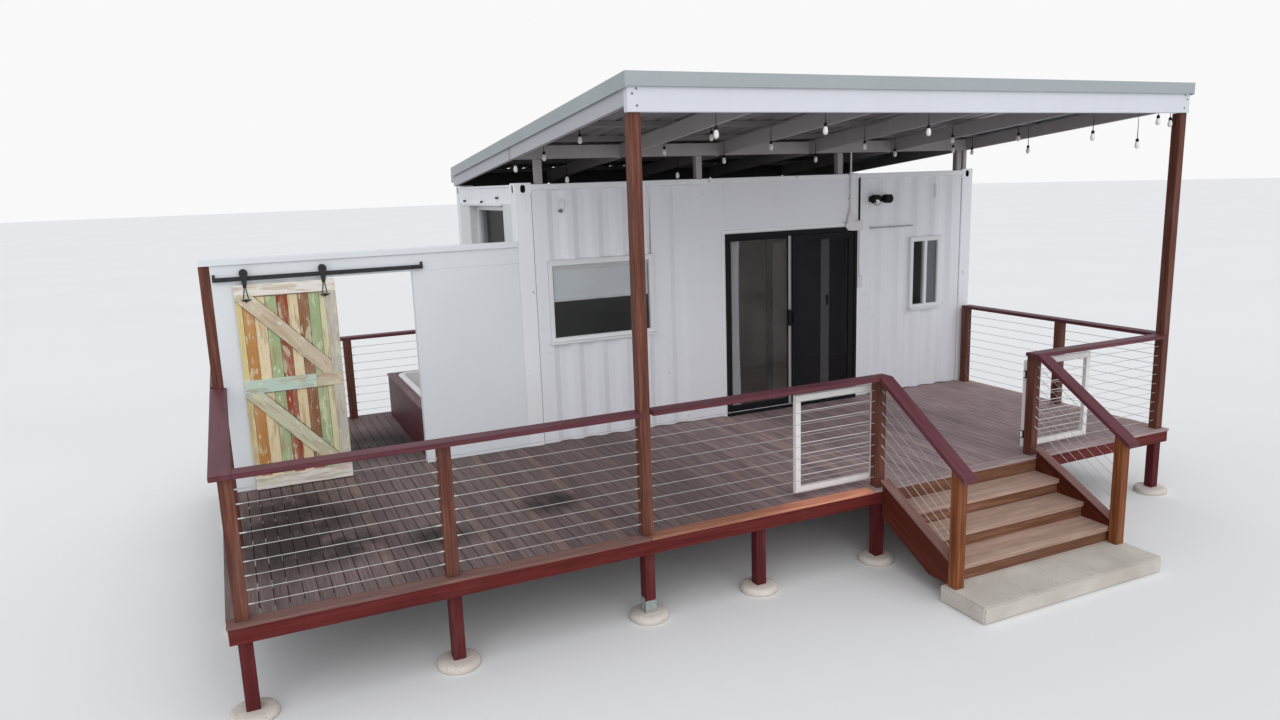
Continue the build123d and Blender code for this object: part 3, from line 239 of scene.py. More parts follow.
def worn_paint(name):
    """Recycled planks: the paint of each board, scraped through to the wood below."""
    f = Finish(name, 0.7, gloss=0.25)
    grain = f.attribute("grain", "Vector")
    fibres = f.noise(8.0, 6.0, grain, FINE_GRAIN, 0.5)
    wood = f.ramp(fibres, (0.3, (0.20, 0.11, 0.06)), (0.5, (0.42, 0.27, 0.16)),
                  (0.7, (0.62, 0.47, 0.32)))
    paint = f.attribute("paint", "Color")
    worn = f.patches(0.52, 0.6, 6.0, 9.0, grain, (0.6, 3.0, 3.0), 0.4)
    scratched = f.patches(0.6, 0.7, 14.0, 6.0, grain, (0.3, 8.0, 8.0))
    bare = f.math("MAXIMUM", f.math("MULTIPLY", worn, 0.45), f.math("MULTIPLY", scratched, 0.8))
    fading = f.patches(0.4, 0.7, 3.0, 5.0, grain, (0.5, 2.0, 2.0))
    faded = f.mix(fading, paint, f.mix(0.22, paint, (0.80, 0.72, 0.56)))
    dabs = f.patches(0.57, 0.62, 7.0, 7.0, grain, (0.8, 2.2, 2.2), 0.6)
    faded = f.coat(faded, (0.68, 0.68, 0.46), dabs, 0.6)
    chips = f.patches(0.63, 0.67, 19.0, 5.0, grain, (0.6, 2.0, 2.0))
    faded = f.coat(faded, (0.82, 0.76, 0.64), chips, 0.7)
    f.colour(f.mix(bare, faded, wood))
    f.roughness(fibres, 0.6, 0.85)
    f.bump(fibres, 0.3, 0.002)
    f.bump(worn, -0.25, 0.001)
    return f.material


def concrete(name, base, shade):
    f = Finish(name, 0.85)
    patch = f.patches(0.3, 0.7, 2.5, 6.0)
    pits = f.patches(0.6, 0.72, 60.0, 3.0)
    f.colour(f.coat(f.mix(patch, base, shade), (0.2, 0.17, 0.15), pits, 0.5))
    f.roughness(patch, 0.75, 0.95)
    f.bump(f.noise(45.0, 6.0), 0.35, 0.004)
    f.bump(f.noise(6.0, 4.0), 0.3, 0.012)
    return f.material


def metal(name, base, shade, roughness, metallic):
    f = Finish(name, roughness, metallic)
    patch = f.noise(18.0, 5.0)
    f.colour(f.mix(f.mask(patch, 0.4, 0.7), base, shade))
    f.roughness(patch, roughness - 0.1, roughness + 0.18)
    f.bump(f.noise(160.0, 3.0), 0.08, 0.001)
    return f.material


def glass(name, tint, roughness=0.04):
    """A dark gloss over what is behind, with a faint film of dust and slight waviness."""
    f = Finish(name, roughness)
    dust = f.noise(3.0, 6.0)
    f.colour(f.mix(f.mask(dust, 0.4, 0.8), tint, tuple(1.6 * c for c in tint)))
    f.alpha(dust, 0.09, 0.17)
    f.roughness(dust, roughness, roughness + 0.08)
    f.bump(f.noise(1.3, 2.0), 0.04, 0.01)
    return f.material


def cloth(name, base, shade):
    """Woven fabric."""
    f = Finish(name, 0.9)
    weave = f.threads("MULTIPLY", 90.0, 0.6)
    f.colour(f.coat(f.mix(weave, shade, base), shade, f.patches(0.4, 0.8, 2.0, 4.0), 0.3))
    f.fill(f.shader, Sheen_Weight=0.2)
    f.bump(weave, 0.2, 0.001)
    return f.material


def insect_screen(name):
    """Dark woven mesh that lets part of the light through."""
    f = Finish(name, 0.8, gloss=0.1)
    threads = f.mask(f.threads("MAXIMUM", 180.0), 0.35, 0.6)
    dust = f.patches(0.4, 0.8, 4.0, 6.0)
    f.colour(f.coat((0.017, 0.016, 0.019), (0.034, 0.031, 0.034), dust, 0.3))
    f.alpha(threads, 0.12, 0.58)
    f.bump(threads, 0.2, 0.0005)
    return f.material


# Water stains on the deck: x, y and reach in metres
STAINS = (
    (-2.45, -1.2, 0.8), (-2.5, -1.75, 0.75), (-2.5, -0.75, 0.6), (-2.2, -1.9, 0.5),
    (-1.5, -2.1, 0.35), (-0.45, -1.8, 0.35), (-1.5, 0.9, 0.8),
)


def deck_timber(name):
    """Weathered decking: taupe boards, dark stains at the left, pale dry boards at the right."""
    f = Finish(name, 0.7, gloss=0.22)
    grain = f.attribute("grain", "Vector")
    fibres = f.noise(9.0, 6.0, grain, FINE_GRAIN, 0.5)
    shade = f.ramp(fibres, (0.3, (0.135, 0.102, 0.098)), (0.5, (0.205, 0.168, 0.162)),
                   (0.72, (0.285, 0.245, 0.238)))
    shade = f.times(shade, f.ramp(
        f.attribute("tint"), (0.0, (0.78, 0.72, 0.75)), (0.4, (0.95, 0.9, 0.92)),
        (0.8, (1.04, 1.0, 0.98)), (1.0, (1.16, 1.04, 0.95)),
    ))
    shade = f.times(shade, f.attribute("paint", "Color"))
    dry = f.span(f.component(f.place, "X"), 0.0, 1.0, 0.7, 2.0)
    shade = f.times(shade, f.ramp(dry, (0.0, (0.84, 0.76, 0.75)), (1.0, (1.85, 1.74, 1.80))))
    stain = None
    for x, y, size in STAINS:
        away = f.add("ShaderNodeVectorMath", {"operation": "DISTANCE"})
        f.feed(away.inputs[0], f.place)
        f.feed(away.inputs[1], (x, y, 0.7))
        near = f.span(away.outputs["Value"], 0.0, 1.0, size, 0.35 * size)
        stain = f.math("MAXIMUM", stain, near) if stain else near
    wet = f.math("MULTIPLY", stain, f.patches(0.22, 0.47, 2.6, 6.0, None, (2.2, 1.0, 1.0)))
    shade = f.coat(shade, (0.026, 0.019, 0.019), wet, 0.92)
    f.colour(f.coat(shade, (0.11, 0.092, 0.094), f.patches(0.42, 0.75, 1.1, 6.0), 0.25))
    f.roughness(fibres, 0.55, 0.85)
    f.bump(f.wave("Y", 28.0, grain), 0.12, 0.002)
    f.bump(fibres, 0.25, 0.002)
    return f.material


WHITE = painted("container_white", (0.79, 0.80, 0.84), (0.70, 0.705, 0.73), 0.5, 0.12, 0.15)
CORNER = painted("corner_white", (0.84, 0.85, 0.88), (0.66, 0.66, 0.67), 0.5, 0.25, 0.6, 0.12)
SCREEN_WHITE = painted("screen_white", (0.74, 0.775, 0.80), (0.66, 0.69, 0.71), 0.55, 0.12, 0.0,
                       0.05)
LINING = painted("end_lining", (0.70, 0.72, 0.71), (0.60, 0.61, 0.60), 0.6, 0.2)
INSIDE = painted("inside_lining", (0.29, 0.285, 0.27), (0.22, 0.215, 0.20), 0.7, 0.2)
# Dark grey on the container's pale roof: painted shade, with streaks and rust over it.
ROOF_TOP = painted("container_top_painted_shade", (0.20, 0.195, 0.19), (0.13, 0.125, 0.115), 0.7, 0.5, 0.6, 0.15)
BASE = painted("base_steel", (0.14, 0.075, 0.07), (0.08, 0.045, 0.04), 0.6, 0.5, 0.6, 0.2)
BEAM = painted("beam_white", (0.66, 0.68, 0.725), (0.57, 0.58, 0.61), 0.5, 0.2, 0.0, 0.1)
# The mid beam's pale paint is given darker: painted shade under the roof.
MID_BEAM = painted("mid_beam_painted_shade", (0.36, 0.34, 0.34), (0.28, 0.26, 0.26), 0.6, 0.3, 0.0, 0.12)
# The rafters' white paint is given as dark grey: painted shade under the roof.
SHADED = painted("rafter_painted_shade", (0.36, 0.335, 0.34), (0.27, 0.25, 0.25), 0.65, 0.3, 0.0, 0.12)
# Dark grey for the purlins: painted shade under the sheet.
PURLIN = painted("purlin_painted_shade", (0.19, 0.175, 0.178), (0.13, 0.12, 0.122), 0.65, 0.3, 0.0, 0.12)
# Near black: painted shade of the dark gap over the container.
BLOCKING = painted("blocking_painted_shade", (0.035, 0.032, 0.032), (0.06, 0.055, 0.052), 0.8, 0.4, 0.0, 0.2)
# The under colour paints shade on the sheet's underside.
SHEET = painted("roof_sheet_grey", (0.46, 0.46, 0.44), (0.33, 0.32, 0.30), 0.45, 0.4, 0.1, 0.06,
                under=(0.18, 0.168, 0.17))
CAPPING = painted("capping_grey", (0.38, 0.42, 0.43), (0.31, 0.34, 0.35), 0.45, 0.2, 0.0, 0.05, 0.2)
FRAME_WHITE = painted("frame_white", (0.76, 0.765, 0.78), (0.66, 0.66, 0.665), 0.35, 0.15, 0.0,
                      0.04)
TRIM_WHITE = painted("trim_white", (0.92, 0.925, 0.94), (0.84, 0.84, 0.85), 0.35, 0.12, 0.0, 0.04)
# Pale grey: a painted highlight of an edge catching the light.
EDGE_HIGHLIGHT = painted("interlock_painted_highlight", (0.50, 0.50, 0.50), (0.42, 0.42, 0.42), 0.4, 0.2, 0.0, 0.04, 0.3)
GATE_WHITE = painted("gate_white", (0.80, 0.775, 0.76), (0.62, 0.58, 0.54), 0.4, 0.3, 0.25, 0.08)
BLACK = painted("black_coat", (0.007, 0.007, 0.009), (0.018, 0.017, 0.018), 0.6, 0.25, 0.0, 0.05,
                gloss=0.14)
DARK_STEEL = painted("dark_steel", (0.016, 0.017, 0.02), (0.04, 0.04, 0.043), 0.5, 0.3, 0.15, 0.12,
                     gloss=0.35)
SLATE = painted("slate_coat", (0.16, 0.165, 0.18), (0.11, 0.11, 0.12), 0.45, 0.2, 0.0, 0.05)
# A lighter copy of the rafter paint: painted light on the end rafters' outer faces.
SIDE_LIT = painted("side_rafter_painted_light", (0.46, 0.47, 0.50), (0.38, 0.39, 0.41), 0.5, 0.2, 0.0, 0.1)
# Near black for hollows: painted shade.
POCKET_SHADE = painted("pocket_painted_shade", (0.01, 0.01, 0.011), (0.02, 0.018, 0.018), 0.9, 0.3, 0.0, 0.1,
                 gloss=0.1)
FLY_SCREEN = painted("fly_screen", (0.24, 0.25, 0.28), (0.19, 0.20, 0.22), 0.8, 0.2, 0.0, 0.2)
ENAMEL = painted("enamel", (0.80, 0.79, 0.79), (0.70, 0.69, 0.68), 0.2, 0.1, 0.0, 0.02)
PLASTIC = painted("conduit_plastic", (0.70, 0.68, 0.69), (0.58, 0.56, 0.57), 0.5, 0.2, 0.0, 0.05)
LENS = painted("lamp_lens", (0.84, 0.83, 0.80), (0.7, 0.69, 0.66), 0.25, 0.1, 0.0, 0.02)
BULB = painted("frosted_bulb", (0.78, 0.76, 0.72), (0.66, 0.64, 0.60), 0.3, 0.1, 0.0, 0.02)
STEEL = metal("steel_wire", (0.66, 0.65, 0.64), (0.5, 0.49, 0.48), 0.35, 0.7)
GALVANISED = metal("galvanised", (0.42, 0.47, 0.45), (0.30, 0.33, 0.32), 0.5, 0.6)
POST = timber("post_timber", (0.055, 0.016, 0.010), (0.135, 0.045, 0.029), (0.235, 0.095, 0.062),
              0.55, 0.10, 0.3)
NEWEL = timber("newel_timber", (0.092, 0.024, 0.007), (0.225, 0.07, 0.022), (0.36, 0.137, 0.048),
               0.55, 0.10, 0.3)
RAIL = timber("rail_paint", (0.075, 0.018, 0.025), (0.127, 0.034, 0.045), (0.166, 0.053, 0.068),
              0.45, 0.10, 0.12, (0.24, 0.14, 0.165))
FASCIA = timber("fascia_paint", (0.068, 0.0095, 0.009), (0.13, 0.0195, 0.018),
                (0.178, 0.037, 0.033), 0.5, 0.08, 0.15, (0.28, 0.13, 0.11), 0.12)
STUMP = timber("stump_paint", (0.055, 0.008, 0.009), (0.105, 0.016, 0.018), (0.15, 0.034, 0.034),
               0.55, 0.15, 0.2, (0.22, 0.12, 0.11), 0.12)
JOIST = timber("joist_timber", (0.02, 0.012, 0.009), (0.05, 0.028, 0.022), (0.09, 0.058, 0.045),
               0.75, 0.2, 0.3)
TREAD = timber("tread_timber", (0.29, 0.18, 0.138), (0.465, 0.315, 0.25), (0.60, 0.44, 0.36),
               0.65, 0.35, 0.3, (0.56, 0.46, 0.39))
RISER = timber("riser_timber", (0.085, 0.034, 0.018), (0.185, 0.08, 0.045), (0.29, 0.145, 0.09),
               0.6, 0.15, 0.3)
STRINGER = timber("stringer_timber", (0.046, 0.008, 0.004), (0.102, 0.020, 0.011),
                  (0.155, 0.038, 0.022), 0.5, 0.08, 0.25, (0.2, 0.11, 0.08), 0.12)
STRINGER_CAP = timber("stringer_cap_timber", (0.15, 0.07, 0.058), (0.26, 0.135, 0.115),
                      (0.35, 0.21, 0.185), 0.5, 0.25, 0.25)
BATH_SIDE = timber("bath_timber", (0.05, 0.010, 0.013), (0.095, 0.021, 0.026), (0.14, 0.037, 0.042),
                   0.45, 0.1, 0.2, (0.2, 0.11, 0.11), 0.12)
BATH_CAP = timber("bath_cap_timber", (0.09, 0.045, 0.045), (0.17, 0.09, 0.095), (0.25, 0.15, 0.15),
                  0.5, 0.25, 0.2)
FLOORING = timber("floor_timber", (0.12, 0.07, 0.04), (0.23, 0.145, 0.09), (0.33, 0.22, 0.15),
                  0.45, 0.1, 0.15)
DECKING = deck_timber("deck_timber")
PLANKS = worn_paint("plank_paint")
PAD = concrete("pad_concrete", (0.70, 0.63, 0.57), (0.52, 0.465, 0.42))
SLAB = concrete("slab_concrete", (0.60, 0.56, 0.51), (0.47, 0.43, 0.38))
GLASS = glass("window_glass", (0.03, 0.034, 0.034))
DOOR_GLASS = glass("door_glass", (0.15, 0.142, 0.132))
BLIND = cloth("blind_cloth", (0.86, 0.92, 0.95), (0.77, 0.83, 0.87))
CURTAIN = cloth("curtain_cloth", (0.80, 0.79, 0.82), (0.66, 0.655, 0.69))
MESH = insect_screen("insect_mesh")


# Geometry

FRONT, UP = (0, -1, 0), (0, 0, 1)
BOX_FACES = ((0, 1, 3, 2), (4, 6, 7, 5), (0, 4, 5, 1), (2, 3, 7, 6), (0, 2, 6, 4), (1, 5, 7, 3))


def islands(mesh):
    """Vertex numbers of each loose part, in the order of their lowest vertex."""
    parent = list(range(len(mesh.vertices)))

    def root(v):
        while parent[v] != v:
            parent[v] = parent[parent[v]]
            v = parent[v]
        return v

    for edge in mesh.edges:
        a, b = root(edge.vertices[0]), root(edge.vertices[1])
        if a != b:
            parent[max(a, b)] = min(a, b)
    groups = {}
    for v in range(len(mesh.vertices)):
        groups.setdefault(root(v), []).append(v)
    return list(groups.values())


def give_grain(mesh):
    """Writes each loose part's grain direction, its offset and its tint as attributes."""
    where = np.zeros(len(mesh.vertices) * 3)
    mesh.vertices.foreach_get("co", where)
    where = where.reshape(-1, 3)
    label = np.zeros(len(mesh.vertices), int)
    groups = islands(mesh)
    for number, group in enumerate(groups):
        label[group] = number
    best = [(0.0, Vector((1, 0, 0)))] * len(groups)
    for edge in mesh.edges:
        a, b = edge.vertices
        run = Vector(where[b] - where[a])
        if run.length > best[label[a]][0]:
            best[label[a]] = (run.length, run.normalized())
    grain = np.zeros_like(where)
    tint = np.zeros(len(where))
    for group, (_, along) in zip(groups, best):
        side = along.orthogonal() if abs(along.z) > 0.9 else along.cross(Vector(UP))
        side.normalize()
        axes = np.array([along, side, along.cross(side)])
        grain[group] = where[group] @ axes.T + [rng.uniform(-40, 40) for _ in range(3)]
        tint[group] = rng.random()
    mesh.attributes.new("grain", "FLOAT_VECTOR", "POINT").data.foreach_set("vector", grain.ravel())
    mesh.attributes.new("tint", "FLOAT", "POINT").data.foreach_set("value", tint)


def painted_mesh():
    """An empty mesh whose points carry a colour."""
    bm = bmesh.new()
    bm.verts.layers.float_color.new("paint")
    return bm


def edged(bm, width, segments=1, angle=25.0):
    """Rounds the sharp edges of a mesh."""
    if width:
        limit = math.radians(angle)
        sharp = [e for e in bm.edges if len(e.link_faces) == 2 and e.calc_face_angle(0) > limit]
        bmesh.ops.bevel(bm, geom=sharp, offset=width, segments=segments, affect="EDGES",
                        clamp_overlap=True)


def piece(name, bm, finish, like=None, replaces=False, smooth=False):
    """Turns mesh code into a piece that has the body of a CAD node."""
    mesh = bpy.data.meshes.new(name)
    bmesh.ops.recalc_face_normals(bm, faces=bm.faces)
    bm.to_mesh(mesh)
    bm.free()
    give_grain(mesh)
    for one in finish if isinstance(finish, list) else [finish]:
        mesh.materials.append(one)
    if smooth:
        mesh.shade_smooth()
    made = bpy.data.objects.new(name, mesh)
    bpy.context.scene.collection.objects.link(made)
    body = NODES[like]["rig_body"] if like else "root"
    stands_for = [like] if replaces else []
    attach(made, body)
    if stands_for:
        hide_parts(*stands_for)
    return made


def refinish(made, finish, chosen):
    """Gives the faces that a test picks a second finish."""
    made.data.materials.append(finish)
    for face in made.data.polygons:
        if chosen(face):
            face.material_index = 1


def cad_mesh(node):
    """A CAD node's solids, with their doubled points joined."""
    bm = bmesh.new()
    bm.from_mesh(NODES[node].data)
    bmesh.ops.remove_doubles(bm, verts=bm.verts, dist=0.00002)
    return bm


def dressed(node, finish, width=0.003, segments=1):
    """A CAD node's solids with their faces cleaned and their edges rounded."""
    bm = cad_mesh(node)
    bmesh.ops.dissolve_limit(bm, angle_limit=math.radians(0.6), verts=bm.verts, edges=bm.edges)
    edged(bm, width, segments)
    return piece(node + "_dressed", bm, finish, node, True)


def solids(node):
    """The lowest and highest corner and the points of each solid of a CAD node."""
    mesh = bpy.data.meshes.new("measured")
    bm = cad_mesh(node)
    bm.to_mesh(mesh)
    bm.free()
    found = []
    for group in islands(mesh):
        points = np.array([mesh.vertices[v].co for v in group])
        found.append((Vector(points.min(0)), Vector(points.max(0)), points))
    bpy.data.meshes.remove(mesh)
    return found


def colour_points(bm, points, paint):
    if paint:
        layer = bm.verts.layers.float_color["paint"]
        for v in points:
            v[layer] = (*paint, 1.0)


def add_box(bm, low, high, paint=None):
    (x0, y0, z0), (x1, y1, z1) = low, high
    made = [bm.verts.new((x, y, z)) for x in (x0, x1) for y in (y0, y1) for z in (z0, z1)]
    for corners in BOX_FACES:
        bm.faces.new([made[c] for c in corners])
    colour_points(bm, made, paint)


def add_slab(bm, axis, plane, outline, thickness, paint=None):
    """Adds a flat outline that lies square to an axis (0, 1 or 2), pushed along that axis."""
    push = Vector((0, 0, 0))
    push[axis] = thickness
    places = [Vector((*p[:axis], plane, *p[axis:])) for p in outline]
    front = [bm.verts.new(p) for p in places]
    back = [bm.verts.new(p + push) for p in places]
    bm.faces.new(front)
    bm.faces.new(back[::-1])
    for i in range(len(outline)):
        j = (i + 1) % len(outline)
        bm.faces.new((front[i], back[i], back[j], front[j]))
    colour_points(bm, front + back, paint)


def add_skin(bm, rings, material=0):
    """Closes a stack of rings of points into one form."""
    rings = [[bm.verts.new(place) for place in ring] for ring in rings]
    faces = [rings[0][::-1], rings[-1]]
    for low, high in zip(rings, rings[1:]):
        for k in range(len(low)):
            j = (k + 1) % len(low)
            faces.append((low[k], low[j], high[j], high[k]))
    for corners in faces:
        bm.faces.new(corners).material_index = material


def add_lathe(bm, foot, axis, profile, sides=12, material=0):
    """Adds a turned form; each row of its profile is (distance along the axis, radius)."""
    foot, axis = Vector(foot), Vector(axis).normalized()
    side = axis.orthogonal().normalized()
    other = axis.cross(side)
    turns = [2 * math.pi * k / sides for k in range(sides)]
    rings = []
    for along, radius in profile:
        centre = foot + along * axis
        rings.append([centre + radius * (math.cos(a) * side + math.sin(a) * other) for a in turns])
    add_skin(bm, rings, material)


def add_rod(bm, start, end, radius, sides=10, end_radius=None):
    """Adds a round bar between two points."""
    run = Vector(end) - Vector(start)
    add_lathe(bm, start, run, ((0, radius), (run.length, end_radius or radius)), sides)


def add_bolt(bm, place, way, radius=0.008, height=0.005, sides=8):
    """Adds a low domed head on a surface."""
    rows = ((-0.001, radius), (0.4 * height, radius), (0.8 * height, 0.72 * radius),
            (height, 0.3 * radius))
    add_lathe(bm, place, way, rows, sides)


def boxes(name, rows, finish, like=None, width=0.0, segments=1, replaces=False):
    """A piece made of boxes; each row is (low corner, high corner) or has a paint as well."""
    bm = bmesh.new() if len(rows[0]) == 2 else painted_mesh()
    for row in rows:
        add_box(bm, *row)
    edged(bm, width, segments)
    return piece(name, bm, finish, like, replaces)


def opened(low, high, x0, x1, z0, z1):
    """Four boxes that frame the opening x0..x1, z0..z1 of a slab from low to high."""
    rows = ((low[0], x0, low[2], high[2]), (x1, high[0], low[2], high[2]),
            (x0, x1, low[2], z0), (x0, x1, z1, high[2]))
    return [((a, low[1], c), (b, high[1], d)) for a, b, c, d in rows]


# Container


def lined(node, finish, width, axis, way):
    """Dresses a wall and gives the faces on its inner plane the grey inside lining."""
    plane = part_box(node)[way > 0][axis]
    refinish(dressed(node, finish, width), INSIDE, lambda face: (
        face.normal[axis] * way > 0.9 and abs(face.center[axis] - plane) < 0.003))


for node in ("front_wall_left", "front_wall_over_door", "front_wall_right"):
    lined(node, WHITE, 0.004, 1, 1)
lined("back_wall", WHITE, 0.004, 1, -1)
lined("right_end_wall", WHITE, 0.004, 0, -1)
dressed("corner_posts", CORNER, 0.006, 2)
castings = dressed("corner_castings", CORNER, 0.005, 2)
casting_boxes = [(low, high) for low, high, _ in solids("corner_castings")]
SKIN_DEPTH = 0.0075


def in_slot(face):
    """Whether a face of the castings lies deeper than the outer skin of one."""
    c = face.center
    return any(min(min(c[i] - low[i], high[i] - c[i]) for i in range(3)) > SKIN_DEPTH
               for low, high in casting_boxes)


# Faces inside the castings' slots are near black: painted shade of their hollows.
refinish(castings, POCKET_SHADE, in_slot)
dressed("top_rails", CORNER, 0.005)
dressed("bottom_rails", BASE)
lined("left_end_wall", LINING, 0.002, 0, 1)
dressed("container_roof", ROOF_TOP)
dressed("cabin_floor", FLOORING, 0.001)
dressed("rear_blocking", BLOCKING, 0.002)

# The header's lashing pockets are dark plates: painted shade of their hollows.
LASHINGS = ((1.995, 3.254), (1.216, 3.246), (0.595, 3.290))  # y and z in the left end's header
boxes("header_lashings", [
    ((-0.0905, y - 0.035, z - 0.011), (-0.080, y + 0.035, z + 0.011)) for y, z in LASHINGS
], POCKET_SHADE, None, 0.006, 2)
boxes("end_drip_strip", [((-0.100, 0.44, 3.205), (-0.080, 2.08, 3.222))], CORNER, None, 0.002)

# Deck, its boards one by one

WARM = (1.75, 1.02, 0.68)
WARMISH = (1.25, 0.92, 0.78)
PLAIN = (1.0, 1.0, 1.0)
BORDER, GAP, PITCH = 0.115, 0.0065, 0.0958
WALL_GAP = 0.004
deck_low, deck_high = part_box("deck_boards")
z0, z1 = deck_low.z, deck_high.z
wall_x = at(0, 0, 0).x - WALL_GAP
wall_y = at(0, 0, 0).y - WALL_GAP
field_x0, field_x1 = deck_low.x + BORDER + GAP, deck_high.x - BORDER - GAP
field_y0, field_y1 = deck_low.y + BORDER + GAP, deck_high.y - BORDER - GAP
count = round((field_x1 - field_x0 + GAP) / PITCH)
step = (field_x1 - field_x0 + GAP) / count
front_splits = (deck_low.x, at(0.05, 0, 0).x, at(2.2, 0, 0).x, deck_high.x)
board_rows = []


def board(x0, y0, x1, y1, paint=PLAIN):
    board_rows.append(((x0, y0, z0), (x1, y1, z1), paint))


for a, b, paint in zip(front_splits, front_splits[1:], (WARMISH, WARM, PLAIN)):
    board(a + GAP / 2, deck_low.y, b - GAP / 2, deck_low.y + BORDER, paint)
board(deck_low.x, field_y0, deck_low.x + BORDER, wall_y)
board(deck_low.x, wall_y + WALL_GAP, deck_low.x + BORDER, deck_high.y)
board(deck_high.x - BORDER, field_y0, deck_high.x, wall_y)
board(field_x0, deck_high.y - BORDER, wall_x, deck_high.y)
for row in range(count):
    x = field_x0 + row * step
    x1 = x + step - GAP
    board(x, field_y0, x1, wall_y)
    if x1 < wall_x + 0.05:
        board(x, wall_y + WALL_GAP, min(x1, wall_x), field_y1)
boxes("deck_planks", board_rows, DECKING, "deck_boards", 0.003, 1, True)
dressed("deck_frame", JOIST, 0)
dressed("deck_fascias", FASCIA)
dressed("deck_stumps", STUMP)

# Screws over each joist, in the long boards

LONG_BOARD = 1.0
screw = ((-0.001, 0.0042), (0.0003, 0.0042), (0.0006, 0.002))
bm = bmesh.new()
frame_sides = sorted({round(v.co.y, 4) for v in NODES["deck_frame"].data.vertices})
joists = [(near + far) / 2 for near, far in zip(frame_sides[::2], frame_sides[1::2])]
for (x0, y0, _), (x1, y1, _), _ in board_rows:
    for y in joists:
        if y1 - y0 > LONG_BOARD and y0 + 0.01 < y < y1 - 0.01:
            for share in (0.25, 0.75):
                add_lathe(bm, (x0 + share * (x1 - x0), y, z1), UP, screw, 6)
piece("deck_screws", bm, SLATE)

# Cast pads and piers, none of them quite round; each row is (share of height, share of radius)

PAD_ROWS = ((0.0, 0.97), (0.35, 1.0), (0.7, 0.97), (0.92, 0.88), (1.0, 0.74), (1.0, 0.4),
            (1.0, 0.05))
PIER_ROWS = ((0.0, 1.0), (0.2, 0.99), (0.45, 0.975), (0.7, 0.97), (0.95, 0.96), (1.0, 0.93),
             (1.0, 0.5), (1.0, 0.05))
SIDES = 30


def cast_ring(low, high, share, size, wander):
    """A ring of points whose radius wanders, with a top that sinks where the ring bulges."""
    centre, reach = (low + high) / 2, (high.x - low.x) / 2
    ring = []
    for k in range(SIDES):
        a = 2 * math.pi * k / SIDES
        way = Vector((math.cos(a), math.sin(a), 0))
        lump = noise.noise(centre * 3 + way * 1.4 + Vector((0, 0, 1.5 * share)))
        ragged = noise.noise(centre * 5 + way * 5.0 + Vector((0, 0, 4 * share)))
        radius = reach * size * (1 - wander * (0.5 + 0.5 * lump) - 0.02 * (0.5 + 0.5 * ragged))
        top = share > 0.9 and size > 0.4
        sink = 0.012 * max(0.0, lump) * min(1.0, 2 * size - 0.8) if top else 0.0
        place = centre + radius * way
        ring.append((place.x, place.y, low.z + share * (high.z - low.z) - sink))
    return ring


bm = bmesh.new()
for low, high, _ in solids("footings"):
    rows, wander = (PIER_ROWS, 0.03) if high.z - low.z > 0.1 else (PAD_ROWS, 0.1)
    add_skin(bm, [cast_ring(low, high, share, size, wander) for share, size in rows])
piece("cast_pads", bm, PAD, "footings", True, True)

# Steel shoe on the one stump that shows it

PLATE = 0.004
SHOD_X, FRONT_ROW = -0.084, -2.9
bm = bmesh.new()
for low, high, _ in solids("deck_stumps"):
    middle = (low + high) / 2
    if low.y < FRONT_ROW and abs(middle.x - SHOD_X) < 0.08:
        foot = low.z + 0.002
        for x, way in ((low.x - PLATE, -1), (high.x, 1)):
            add_box(bm, (x, middle.y - 0.032, foot), (x + PLATE, middle.y + 0.032, low.z + 0.12))
            for z in (low.z + 0.04, low.z + 0.09):
                add_bolt(bm, (x + max(0, way) * PLATE, middle.y, z), (way, 0, 0), 0.009, 0.007, 6)
        add_box(bm, (low.x - PLATE, low.y - PLATE, foot), (high.x + PLATE, low.y, low.z + 0.10))
        add_bolt(bm, (middle.x, low.y - PLATE, low.z + 0.065), FRONT, 0.009, 0.007, 6)
piece("stump_shoes", bm, GALVANISED)

# Stair: two boards to a tread, one to a riser

TREAD_LIMIT = 0.06  # thicker than a tread, lower than a riser
tread_rows, riser_rows = [], []
for low, high, _ in solids("stair_steps"):
    if high.z - low.z < TREAD_LIMIT:
        middle = low.y + (high.y - low.y) * 0.52
        tread_rows.append((low, (high.x, middle - 0.002, high.z), PLAIN))
        tread_rows.append(((low.x, middle + 0.002, low.z), high, PLAIN))
    else:
        riser_rows.append((low, high, PLAIN))
boxes("stair_treads", tread_rows, TREAD, "stair_steps", 0.004, 1, True)
boxes("stair_risers", riser_rows, RISER, "stair_steps", 0.002)
steps_low, steps_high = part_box("stair_steps")
fascia_low, fascia_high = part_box("deck_fascias")
top_riser = ((steps_low.x, fascia_low.y - 0.010, fascia_low.z),
             (steps_high.x, fascia_low.y + 0.001, fascia_high.z - 0.001), PLAIN)
boxes("top_riser", [top_riser], RISER, "stair_steps", 0.002)
cap_middles = (steps_low.x - 0.023, steps_high.x + 0.023)
STRINGER_HALF = 0.035
refinish(dressed("stair_stringers", STRINGER), STRINGER_CAP, lambda face: (
    face.normal.z > 0.3 or min(abs(face.center.x - x) for x in cap_middles) > STRINGER_HALF))
dressed("landing_slab", SLAB, 0.012, 2)

# Balustrade; its posts in front of the deck are the stair's newels

NEWEL_Y = -3.1
refinish(dressed("balustrade_posts", POST, 0.004, 2), NEWEL, lambda face: face.center.y < NEWEL_Y)
dressed("tall_posts", POST, 0.004, 2)
dressed("handrails", RAIL, 0.005, 2)

